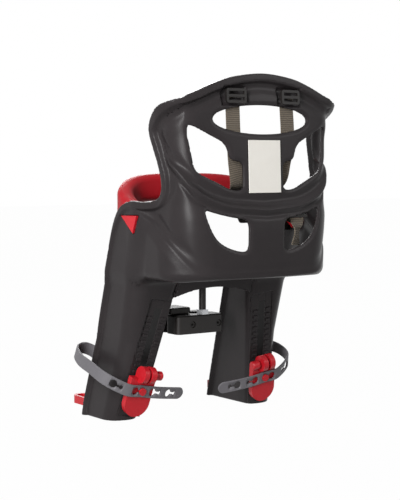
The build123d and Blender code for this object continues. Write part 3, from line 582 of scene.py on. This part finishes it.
def surface(function, low, high, step):
    """Vertices and quads of the zero surface of a distance, pulled onto it."""
    values = grid_values(function, [np.arange(a, b + step, step) for a, b in zip(low, high)])
    total, count = crossing_points(values)
    active = count > 0
    number = np.full(active.shape, -1)
    number[active] = np.arange(active.sum())
    vertices = (np.argwhere(active) + total[active] / count[active][:, None]) * step + np.array(low)
    for _ in range(PULLS):
        slope = gradient(function, vertices)
        size = np.maximum((slope**2).sum(1), LEAST_SLOPE)
        move = (function(vertices) / size)[:, None] * slope
        limit = np.maximum(np.linalg.norm(move, axis=1, keepdims=True) / (LONGEST_PULL * step), 1)
        vertices = vertices - move / limit
    return vertices, crossing_quads(values < 0, number)


# Objects
BOX_FACES = ((3, 2, 1, 0), (4, 5, 6, 7), (0, 1, 5, 4), (1, 2, 6, 5), (2, 3, 7, 6), (3, 0, 4, 7))
PLAIN_AXES = np.eye(3)
PLAIN_ORIGIN = np.zeros(3)


def unit_rows(rows):
    """Rows scaled to length 1."""
    return rows / np.linalg.norm(rows, axis=1, keepdims=True)


def mesh_object(name, vertices, faces, normals=None):
    """Object from points in millimetres, smooth shaded."""
    mesh = bpy.data.meshes.new(name)
    mesh.from_pydata((np.array(vertices) * MM).tolist(), [], [list(map(int, f)) for f in faces])
    mesh.update()
    mesh.shade_smooth()
    if normals is not None:
        mesh.normals_split_custom_set_from_vertices(normals.tolist())
    made = bpy.data.objects.new(name, mesh)
    bpy.context.scene.collection.objects.link(made)
    return made


def make_shell():
    """Moulded shell with its ridge, rim, saddle and flowing legs."""
    vertices, quads = surface(shell_distance, GRID_LOW, GRID_HIGH, GRID)
    normals = gradient(shell_distance, vertices)
    normals /= np.maximum(np.linalg.norm(normals, axis=1, keepdims=True), 1e-9)
    return mesh_object("moulded_shell", vertices, quads, normals)


def box_mesh(name, boxes, axes=PLAIN_AXES, origin=PLAIN_ORIGIN, mirrored=False):
    """Object made of boxes, each given by its low and high corner along three axes."""
    vertices = []
    faces = []
    for low, high in boxes:
        base = len(vertices)
        for c in (low[2], high[2]):
            for a, b in ((low[0], low[1]), (high[0], low[1]), (high[0], high[1]), (low[0], high[1])):
                vertices.append(origin + a * axes[0] + b * axes[1] + c * axes[2])
        faces += [[base + i for i in face] for face in BOX_FACES]
    vertices = np.array(vertices)
    if np.linalg.det(np.array(axes)) < 0:
        faces = [face[::-1] for face in faces]
    if mirrored:
        vertices = vertices * (-1, 1, 1)
        faces = [face[::-1] for face in faces]
    return mesh_object(name, vertices, faces)


def soften_edges(made, width):
    """Small round on the edges of an object."""
    bevel = made.modifiers.new("edge", "BEVEL")
    bevel.width = width * MM
    bevel.segments = 2
    bevel.limit_method = "ANGLE"
    bevel.harden_normals = True
    return made


def face_outwards(made):
    """Turns the faces of a closed object to the outside."""
    bm = bmesh.new()
    bm.from_mesh(made.data)
    bmesh.ops.recalc_face_normals(bm, faces=bm.faces)
    bm.to_mesh(made.data)
    bm.free()


def tube_faces(rings, count):
    """Faces of a closed tube made of rings of points."""
    last = (rings - 1) * count
    faces = []
    for i in range(0, last, count):
        for j in range(count):
            k = (j + 1) % count
            faces.append((i + j, i + k, i + count + k, i + count + j))
    faces.append(tuple(range(count))[::-1])
    faces.append(tuple(range(last, last + count)))
    return faces


def mirrored_copy(made, name):
    """Twin of an object on the other side of the middle plane."""
    mesh = made.data.copy()
    mesh.transform(Matrix.Scale(-1, 4, (1, 0, 0)))
    mesh.flip_normals()
    twin = bpy.data.objects.new(name, mesh)
    bpy.context.scene.collection.objects.link(twin)
    return twin


def cut(made, cutters):
    """Takes the cutters out of an object and removes them."""
    for cutter in cutters:
        boolean = made.modifiers.new("cut", "BOOLEAN")
        boolean.operation = "DIFFERENCE"
        boolean.solver = "EXACT"
        boolean.object = cutter
    bpy.context.view_layer.update()
    graph = bpy.context.evaluated_depsgraph_get()
    mesh = bpy.data.meshes.new_from_object(made.evaluated_get(graph))
    made.modifiers.clear()
    made.data = mesh
    for cutter in cutters:
        bpy.data.objects.remove(cutter)


def rack_boxes():
    """Boxes of a rack: rails beside the slot, ends and two columns of teeth."""
    side = RACK_HALF + RACK_LAP
    low = RACK_BOTTOM - RACK_LAP
    high = RACK_TOP + RACK_LAP
    floor = -RACK_DEPTH
    boxes = [
        ((-side, low, -WALL), (-SLOT_HALF, high, floor)),
        ((SLOT_HALF, low, -WALL), (side, high, floor)),
        ((-SLOT_HALF, SLOT_TOP, -WALL), (SLOT_HALF, high, floor)),
        ((-SLOT_HALF, low, -WALL), (SLOT_HALF, SLOT_BOTTOM, floor)),
    ]
    for index in range(TOOTH_COUNT):
        top = TOOTH_PITCH * (1 - index)
        for start in (-SLOT_HALF - TOOTH_GAP - TOOTH_WIDE, SLOT_HALF + TOOTH_GAP):
            boxes.append(((start, top - TOOTH_TALL, floor), (start + TOOTH_WIDE, top, -TOOTH_SUNK)))
    return boxes


# Straps: points along a path, and points round it by side, whether at the round corner, and level
RIBBON_PER = 16
RIBBON_STEP = 1.6
RIBBON_CORNER = 0.3
RIBBON_TIP = 0.995
RIBBON_SHARP = math.radians(40)
RIBBON_RING = (
    (1, 0, 0.4),
    (1, 1, 1.0),
    (-1, 1, 1.0),
    (-1, 0, 0.4),
    (-1, 0, -0.4),
    (-1, 1, -1.0),
    (1, 1, -1.0),
    (1, 0, -0.4),
)


def ribbon(name, points, wide, width, thick, pointed=False):
    """Flat strap along a smooth path; wide is its width direction, one or one per point."""
    points = np.array(points, float)
    wide = np.broadcast_to(np.array(wide, float), points.shape)
    both = smooth_curve(np.hstack([points, wide]), RIBBON_PER)
    run = np.concatenate([[0], np.cumsum(np.linalg.norm(np.diff(both[:, :3], axis=0), axis=1))])
    even = np.linspace(0, run[-1], int(run[-1] / RIBBON_STEP))
    both = np.stack([np.interp(even, run, column) for column in both.T], 1)
    path = both[:, :3]
    ahead = unit_rows(np.gradient(path, axis=0))
    across = unit_rows(both[:, 3:] - ahead * (both[:, 3:] * ahead).sum(1, keepdims=True))
    out = np.cross(ahead, across)
    half = np.full(len(path), width / 2)
    if pointed:
        past = np.clip((even - even[-1] + width / 2) / (width / 2), 0, RIBBON_TIP)
        half = half * np.sqrt(1 - past**2)
    rows = []
    for side, at_corner, level in RIBBON_RING:
        reach = side * (half - at_corner * RIBBON_CORNER * thick)[:, None]
        rows.append(path + reach * across + level * thick / 2 * out)
    vertices = np.stack(rows, 1).reshape(-1, 3)
    count = len(RIBBON_RING)
    made = mesh_object(name, vertices, tube_faces(len(path), count))
    length = made.data.attributes.new("run", "FLOAT", "POINT")
    length.data.foreach_set("value", np.repeat(even * MM, count).astype(np.float32))
    face_outwards(made)
    made.data.set_sharp_from_angle(angle=RIBBON_SHARP)
    return made, path, ahead, across, out


# Materials; a colour mix has its colours at inputs A and B by number, and its result
MIX_A = 6
MIX_B = 7
MIX_RESULT = 2


def node(tree, kind, **sockets):
    """Shader node with some of its inputs set."""
    made = tree.nodes.new(kind)
    for name, value in sockets.items():
        made.inputs[name.replace("_", " ")].default_value = value
    return made


def math_node(tree, operation, *values):
    """Output of a math node that takes sockets and plain numbers."""
    made = tree.nodes.new("ShaderNodeMath")
    made.operation = operation
    for socket, value in zip(made.inputs, values):
        if isinstance(value, bpy.types.NodeSocket):
            tree.links.new(value, socket)
        else:
            socket.default_value = value
    return made.outputs[0]


def linear(colour):
    """Linear colour of a hexadecimal one."""
    parts = [int(colour[i : i + 2], 16) / 255 for i in (1, 3, 5)]
    return [c / 12.92 if c < 0.04045 else ((c + 0.055) / 1.055) ** 2.4 for c in parts] + [1.0]


def surface_material(name, colours, rough, grain, depth, metal=0.0, sheen=0.0, specular=0.5):
    """Material whose colour, roughness and fine relief vary with noise."""
    made = bpy.data.materials.new(name)
    made.use_nodes = True
    tree = made.node_tree
    shader = tree.nodes["Principled BSDF"]
    place = node(tree, "ShaderNodeTexCoord")
    broad = node(tree, "ShaderNodeTexNoise", Scale=18.0, Detail=4.0, Roughness=0.6)
    fine = node(tree, "ShaderNodeTexNoise", Scale=grain, Detail=3.0, Roughness=0.7)
    blend = node(tree, "ShaderNodeMix")
    blend.data_type = "RGBA"
    blend.inputs[MIX_A].default_value = linear(colours[0])
    blend.inputs[MIX_B].default_value = linear(colours[1])
    spread = node(tree, "ShaderNodeMapRange", To_Min=rough[0], To_Max=rough[1])
    uneven = node(tree, "ShaderNodeBump", Strength=depth, Distance=0.0006)
    tree.links.new(place.outputs["Object"], broad.inputs["Vector"])
    tree.links.new(place.outputs["Object"], fine.inputs["Vector"])
    tree.links.new(broad.outputs["Fac"], blend.inputs["Factor"])
    tree.links.new(blend.outputs[MIX_RESULT], shader.inputs["Base Color"])
    tree.links.new(fine.outputs["Fac"], spread.inputs["Value"])
    tree.links.new(spread.outputs["Result"], shader.inputs["Roughness"])
    tree.links.new(fine.outputs["Fac"], uneven.inputs["Height"])
    tree.links.new(uneven.outputs["Normal"], shader.inputs["Normal"])
    shader.inputs["Metallic"].default_value = metal
    shader.inputs["Sheen Weight"].default_value = sheen
    shader.inputs["Specular IOR Level"].default_value = specular
    return made


def woven_material(name, colours, pitch):
    """Webbing: ribs across the run of the strap, with a fine weave, and painted shade that darkens the
    colour in the hollows between the ribs.
    """
    made = surface_material(name, colours, (0.75, 0.9), 2600.0, 0.5, sheen=0.3, specular=0.2)
    tree = made.node_tree
    shader = tree.nodes["Principled BSDF"]
    run = node(tree, "ShaderNodeAttribute")
    run.attribute_name = "run"
    turns = math_node(tree, "MULTIPLY", run.outputs["Fac"], 2 * math.pi / pitch)
    wave = math_node(tree, "SINE", turns)
    level = node(tree, "ShaderNodeMapRange", From_Min=-1.0, From_Max=1.0, To_Min=0.0, To_Max=1.0)
    ribs = node(tree, "ShaderNodeBump", Strength=0.8, Distance=0.0008)
    # Painted shade: the colour is darkened in step with the rib wave, darkest in the hollows between
    # the ribs
    shade = node(tree, "ShaderNodeMix", Factor=0.55)
    shade.data_type = "RGBA"
    shade.blend_type = "MULTIPLY"
    plain_colour = shader.inputs["Base Color"].links[0].from_socket
    plain_normal = shader.inputs["Normal"].links[0].from_socket
    tree.links.new(wave, level.inputs["Value"])
    tree.links.new(level.outputs["Result"], ribs.inputs["Height"])
    tree.links.new(plain_normal, ribs.inputs["Normal"])
    tree.links.new(ribs.outputs["Normal"], shader.inputs["Normal"])
    tree.links.new(plain_colour, shade.inputs[MIX_A])
    tree.links.new(level.outputs["Result"], shade.inputs[MIX_B])
    tree.links.new(shade.outputs[MIX_RESULT], shader.inputs["Base Color"])
    return made


def paint(made, look):
    """Gives an object one material."""
    made.data.materials.clear()
    made.data.materials.append(look)
    return made


charcoal = surface_material(
    "charcoal_plastic", ("#282526", "#302c2d"), (0.28, 0.36), 1400.0, 0.08, specular=0.11
)
red = surface_material("red_plastic", ("#bf1c28", "#b41822"), (0.34, 0.46), 900.0, 0.06, specular=0.3)
bar_red = surface_material(
    "bar_plastic", ("#a81a23", "#9c161f"), (0.45, 0.58), 1200.0, 0.1, specular=0.15
)
strap_grey = surface_material("strap_rubber", ("#5c5a5e", "#646266"), (0.5, 0.64), 1500.0, 0.15)
black = surface_material(
    "black_plastic", ("#1a1817", "#211e1d"), (0.4, 0.54), 1300.0, 0.12, specular=0.25
)
steel = surface_material("zinc_steel", ("#b9babc", "#a6a8ab"), (0.25, 0.42), 700.0, 0.08, metal=1.0)
paper = surface_material("plate_face", ("#e9e6df", "#dedad2"), (0.4, 0.55), 500.0, 0.03)
webbing = woven_material("webbing", ("#74695a", "#675c4e"), 0.0032)

# CAD nodes that stay, with their looks
NODE_MATERIALS = {
    "clamp_rear_jaw": black,
    "clamp_front_jaw": black,
    "clamp_bolts": black,
    "clamp_nuts": steel,
    "support_post": black,
    "post_nut": steel,
    "mount_socket": black,
    "mount_screws": steel,
    "buckle_socket": black,
    "buckle_button": red,
    "bar_latch": red,
    "footrest": red,
    "footrest_lock": red,
    "release_button": red,
    "strap_adjuster": black,
    "harness_shield": black,
    "waist_slide": black,
}
NODE_EDGE = 0.8
FINE_EDGE = 0.4

for name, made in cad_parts.items():
    plain = name.replace("left_", "").replace("right_", "")
    if plain in NODE_MATERIALS:
        paint(made, NODE_MATERIALS[plain])
        soften_edges(made, NODE_EDGE)

# Shell and racks
shell = make_shell()
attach(paint(shell, charcoal), "seat")
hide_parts("seat_shell")

for side, mirrored in (("left", False), ("right", True)):
    rack = box_mesh(f"{side}_rack", rack_boxes(), (RACK_IN, RACK_UP, RACK_OUT), RACK_ORIGIN, mirrored)
    soften_edges(rack, FINE_EDGE)
    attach(paint(rack, charcoal), "seat")

# Foot straps, with keyholes at places counted in pitches from the stud
STRAP_WIDTH = 20.0
STRAP_THICK = 3.0
STRAP_OUT = 12.6
STRAP_LOW = -124.0
STUD_ALONG = -110.0
KEYHOLE_PITCH = 34.0
KEYHOLE_PLACES = (-1.2, 0.0, 1.0, 2.0)
KEYHOLE_NECK = 14.0
KEYHOLE_RADIUS = 6.5
KEYHOLE_END = 3.4
KEYHOLE_SLIT = 2.0
KEYHOLE_CUT = 8.0
STRAP_PATH = (
    (116.5, -70.0, STRAP_LOW + 0.5),
    (116.5, -70.0, STRAP_LOW + 10.0),
    (118.0, -84.0, -88.0),
    (124.0, -98.0, -58.0),
    (142.0, -107.0, -45.0),
    (165.0, -97.0, -46.0),
    (181.0, -60.0, -54.0),
    (189.0, -10.0, -62.0),
    (182.0, 22.0, -76.0),
    tuple(on_rack(-28.0, STUD_ALONG + 1, STRAP_OUT)),
    tuple(on_rack(0.0, STUD_ALONG, STRAP_OUT)),
    tuple(on_rack(KEYHOLE_PITCH, STUD_ALONG - 1, STRAP_OUT)),
    tuple(on_rack(88.0, STUD_ALONG - 3, STRAP_OUT - 9)),
)


def keyhole(name, centre, along, across, out):
    """Cutter of a keyhole: a round hole with a narrower neck that ends at the centre."""
    start = math.asin(KEYHOLE_SLIT / KEYHOLE_RADIUS)
    turn = np.linspace(start, 2 * math.pi - start, 24)
    loop = [(KEYHOLE_RADIUS * math.cos(t) - KEYHOLE_NECK, KEYHOLE_RADIUS * math.sin(t)) for t in turn]
    start = math.pi - math.asin(KEYHOLE_SLIT / KEYHOLE_END)
    turn = np.linspace(-start, start, 14)
    loop += [(KEYHOLE_END * math.cos(t), KEYHOLE_END * math.sin(t)) for t in turn]
    vertices = []
    for level in (-KEYHOLE_CUT, KEYHOLE_CUT):
        vertices += [centre + a * along + b * across + level * out for a, b in loop]
    made = mesh_object(name, vertices, tube_faces(2, len(loop)))
    face_outwards(made)
    return made


strap, path, ahead, across, out = ribbon(
    "left_strap", STRAP_PATH, RACK_UP, STRAP_WIDTH, STRAP_THICK, pointed=True
)
cutters = []
for number, place in enumerate(KEYHOLE_PLACES):
    target = on_rack(place * KEYHOLE_PITCH, STUD_ALONG - place, STRAP_OUT)
    near = int(np.argmin(np.linalg.norm(path - target, axis=1)))
    cutters.append(keyhole(f"keyhole_{number}", path[near], ahead[near], across[near], out[near]))
cut(strap, cutters)
twin = mirrored_copy(strap, "right_strap")
for side, made in (("left", strap), ("right", twin)):
    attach(paint(made, strap_grey), f"{side}_foot")
    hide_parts(f"{side}_foot_strap")

# Harness webbing
WEB_WIDTH = 26.0
WEB_THICK = 2.0
SHIELD_Y = 140.0
SHIELD_TOP = 206.0
SHOULDER_PATH = (
    (ADJUSTER_X, 183.0, ADJUSTER_Z),
    (ADJUSTER_X, 179.0, ADJUSTER_Z - 4.0),
    (ADJUSTER_X, 179.0, ADJUSTER_Z - 16.0),
    (ADJUSTER_X, 182.0, 300.0),
    (47.0, 180.0, 262.0),
    (38.0, 174.0, 228.0),
    (14.5, SHIELD_Y, SHIELD_TOP + 8.0),
    (14.5, SHIELD_Y, SHIELD_TOP + 0.4),
)
SLIDE = (-66.0, 188.5, 179.0)
WAIST_PATH = (
    (-8.0, SHIELD_Y - 3.5, 192.0),
    (-28.0, SHIELD_Y - 3.5, 192.0),
    (-40.0, 146.0, 192.0),
    (-54.0, 166.0, 187.0),
    (SLIDE[0], SLIDE[1] - 3.9, SLIDE[2]),
)
TAIL_PATH = (
    (SLIDE[0], SLIDE[1], SLIDE[2] - 2.9),
    (SLIDE[0], SLIDE[1], SLIDE[2] - 10.9),
    (-65.0, 190.0, 156.0),
    (-63.0, 189.0, 134.0),
)
TAIL_TURN = ((1, 0, 0), (1, 0.1, 0), (0.8, 0.6, 0), (0.9, 0.4, 0))
CROTCH_PATH = (
    (0.0, 112.0, SHELL_BOTTOM + 2.0),
    (0.0, 112.0, SHELL_BOTTOM + 8.0),
    (0.0, 104.0, 106.0),
    (0.0, 98.0, 106.0),
    (0.0, 90.4, 106.0),
)


def lay_web(made, node_name):
    """Gives webbing its look and its body, and hides the node that it stands for."""
    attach(paint(made, webbing), "seat")
    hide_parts(node_name)


def web(name, points, wide, node_name):
    """One strip of webbing in place of a plain node."""
    made = ribbon(name, points, wide, WEB_WIDTH, WEB_THICK)[0]
    lay_web(made, node_name)
    return made


left = web("left_shoulder_web", SHOULDER_PATH, (1, 0, 0), "left_shoulder_strap")
lay_web(mirrored_copy(left, "right_shoulder_web"), "right_shoulder_strap")
web("waist_web", WAIST_PATH, (0, 0, 1), "waist_strap")
web("tail_web", TAIL_PATH, TAIL_TURN, "strap_tail")
web("crotch_web", CROTCH_PATH, (1, 0, 0), "crotch_strap")

# Front bar, and its tongues with the pockets that the latches move in
BAR_PATH = (
    (0.0, -33.0, 222.0),
    (60.0, -32.0, 221.0),
    (98.0, -25.0, 216.0),
    (124.0, -8.0, 203.0),
    (135.0, 14.0, 190.0),
    (140.0, 44.0, 178.0),
)
BAR_PER = 14
BAR_HEIGHT = 44.0
BAR_THICK = 26.0
BAR_RADIUS = 11.0
BAR_SHARP = math.radians(50)
TONGUE = ((137.4, 38.0, 150.0), (153.3, 64.0, 197.0))
POCKET_FLOOR = 142.0
POCKET_MOUTH = 178.0
POCKET_SCALE = 1.05


def rounded_ring(height, thick, radius, per=6):
    """Outline of a rectangle with round corners."""
    ring = []
    for quarter, (a, b) in enumerate(((1, 1), (-1, 1), (-1, -1), (1, -1))):
        for share in np.linspace(0, 1, per):
            angle = (quarter + share) * math.pi / 2
            across = a * (height / 2 - radius) + radius * math.cos(angle)
            ring.append((across, b * (thick / 2 - radius) + radius * math.sin(angle)))
    return np.array(ring)


def make_bar():
    """Arched bar round the front."""
    path = smooth_curve(mirrored_curve(BAR_PATH), BAR_PER)
    ahead = unit_rows(np.gradient(path, axis=0))
    tall = unit_rows(np.array((0.0, 0.0, 1.0)) - ahead * ahead[:, 2:])
    level = np.cross(ahead, tall)
    ring = rounded_ring(BAR_HEIGHT, BAR_THICK, BAR_RADIUS)
    vertices = path[:, None] + ring[:, :1] * tall[:, None] + ring[:, 1:] * level[:, None]
    made = mesh_object("bar", vertices.reshape(-1, 3), tube_faces(len(path), len(ring)))
    made.data.set_sharp_from_angle(angle=BAR_SHARP)
    return made


def latch_pocket():
    """Cutter of the room that a latch moves in."""
    outline = np.array(LATCH_FACE)
    outline = outline.mean(0) + POCKET_SCALE * (outline - outline.mean(0))
    vertices = [(across, *point) for across in (POCKET_FLOOR, POCKET_MOUTH) for point in outline]
    faces = [(0, 1, 2), (5, 4, 3), (0, 3, 4, 1), (1, 4, 5, 2), (2, 5, 3, 0)]
    return mesh_object("latch_pocket", vertices, faces)


bar = make_bar()
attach(paint(bar, bar_red), "seat")
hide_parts("front_bar")
tongue = box_mesh("left_tongue", [TONGUE])
cut(tongue, [latch_pocket()])
# The tongues belong to the red bar but are painted black: painted shade where their ends sit in the
# dark inside of the armrests
for made in (tongue, mirrored_copy(tongue, "right_tongue")):
    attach(paint(made, black), "seat")

# Bare plate on the back, leaning with it
PLATE = ((-30.5, -40.0, -0.6), (30.5, 40.0, 0.6))
PLATE_MIDDLE = np.array((0.0, 192.2, 256.0))
PLATE_UP = np.array((0.0, -3.0, 78.0))
PLATE_UP /= np.linalg.norm(PLATE_UP)
PLATE_ACROSS = np.array((1.0, 0.0, 0.0))
PLATE_OUT = np.cross(PLATE_UP, -PLATE_ACROSS)
plate = box_mesh("back_plate", [PLATE], (PLATE_ACROSS, PLATE_UP, PLATE_OUT), PLATE_MIDDLE)
soften_edges(plate, FINE_EDGE)
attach(paint(plate, paper), "seat")

# Block on top of the clamp
BLOCK = ((18.0, -24.0, 15.2), (58.0, 20.0, 27.0))
BLOCK_EDGE = 3.0
block = box_mesh("clamp_block", [BLOCK])
soften_edges(block, BLOCK_EDGE)
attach(paint(block, black), "seat")

# Floor, light, white surround and camera, in metres; lamps by name, place, width, height and power
FLOOR_Z = -0.1505
FLOOR_HALF = 9.0
FLOOR_GREY = 0.3
FLOOR_ROUGH = 0.9
FLOOR_WHITE = 0.985
WHITE = (1, 1, 1, 1)
WORLD_STRENGTH = 0.05
LAMPS = (
    ("key", (1.75, 1.1, 0.75), 0.4, 1.7, 64.0),
    ("fill", (-1.3, 1.7, 0.9), 0.8, 0.8, 8.0),
    ("front", (-0.8, -2.0, 1.2), 0.9, 0.9, 24.0),
    ("top", (0.2, 0.0, 2.1), 0.6, 0.6, 8.0),
)
LAMP_AIM = Vector((0, 0.05, 0.12))
CAMERA_PLACE = (1.2754, 1.8416, 0.2674)
CAMERA_ANGLES = (145.0, 3.813)
CAMERA_FOCUS = 1365.4
CAMERA_HEIGHT = 500.0


def white_to_camera(tree, share):
    """Value that is share for rays of the camera, mirrors and glass, and 0 for all others."""
    path = node(tree, "ShaderNodeLightPath")
    seen = math_node(tree, "MAXIMUM", path.outputs["Is Camera Ray"], path.outputs["Is Glossy Ray"])
    seen = math_node(tree, "MAXIMUM", seen, path.outputs["Is Transmission Ray"])
    return math_node(tree, "MULTIPLY", seen, share)


def mix_white(tree, share, plain, white, target):
    """Shows the white shader to the camera and the plain one to all else."""
    mix = node(tree, "ShaderNodeMixShader")
    tree.links.new(white_to_camera(tree, share), mix.inputs[0])
    tree.links.new(plain.outputs[0], mix.inputs[1])
    tree.links.new(white.outputs[0], mix.inputs[2])
    tree.links.new(mix.outputs[0], tree.nodes[target].inputs["Surface"])


def make_floor():
    """Pale floor that keeps a soft shadow."""
    corners = np.array([(-1, -1, 0), (1, -1, 0), (1, 1, 0), (-1, 1, 0)]) * FLOOR_HALF
    floor = mesh_object("floor", corners / MM, [(0, 1, 2, 3)])
    floor.location.z = FLOOR_Z
    look = bpy.data.materials.new("floor_white")
    look.use_nodes = True
    tree = look.node_tree
    shader = tree.nodes["Principled BSDF"]
    shader.inputs["Base Color"].default_value = (FLOOR_GREY, FLOOR_GREY, FLOOR_GREY, 1)
    shader.inputs["Roughness"].default_value = FLOOR_ROUGH
    glow = node(tree, "ShaderNodeEmission", Color=WHITE, Strength=1.0)
    mix_white(tree, FLOOR_WHITE, shader, glow, "Material Output")
    paint(floor, look)


def make_world():
    """Even soft light, white where the camera sees it."""
    world = bpy.data.worlds.new("studio")
    bpy.context.scene.world = world
    world.use_nodes = True
    tree = world.node_tree
    ambient = tree.nodes["Background"]
    ambient.inputs["Color"].default_value = WHITE
    ambient.inputs["Strength"].default_value = WORLD_STRENGTH
    white = node(tree, "ShaderNodeBackground", Color=WHITE, Strength=1.0)
    mix_white(tree, 1.0, ambient, white, "World Output")


def area_light(name, place, width, height, power):
    """Soft light aimed at the object."""
    lamp = bpy.data.lights.new(name, "AREA")
    lamp.shape = "RECTANGLE"
    lamp.size = width
    lamp.size_y = height
    lamp.energy = power
    made = bpy.data.objects.new(name, lamp)
    made.location = place
    made.rotation_mode = "QUATERNION"
    made.rotation_quaternion = (LAMP_AIM - made.location).to_track_quat("-Z", "Y")
    bpy.context.scene.collection.objects.link(made)


def make_camera():
    """Camera where the photograph was taken from."""
    data = bpy.data.cameras.new("camera")
    data.sensor_width = 36.0
    data.lens = CAMERA_FOCUS * data.sensor_width / CAMERA_HEIGHT
    made = bpy.data.objects.new("camera", data)
    made.location = CAMERA_PLACE
    azimuth, elevation = (math.radians(a) for a in CAMERA_ANGLES)
    level = math.cos(elevation)
    back = Vector((math.sin(azimuth) * level, -math.cos(azimuth) * level, math.sin(elevation)))
    made.rotation_mode = "QUATERNION"
    made.rotation_quaternion = (-back).to_track_quat("-Z", "Y")
    bpy.context.scene.collection.objects.link(made)
    bpy.context.scene.camera = made


make_floor()
make_world()
for lamp in LAMPS:
    area_light(*lamp)
make_camera()
bpy.context.scene.view_settings.view_transform = "Standard"
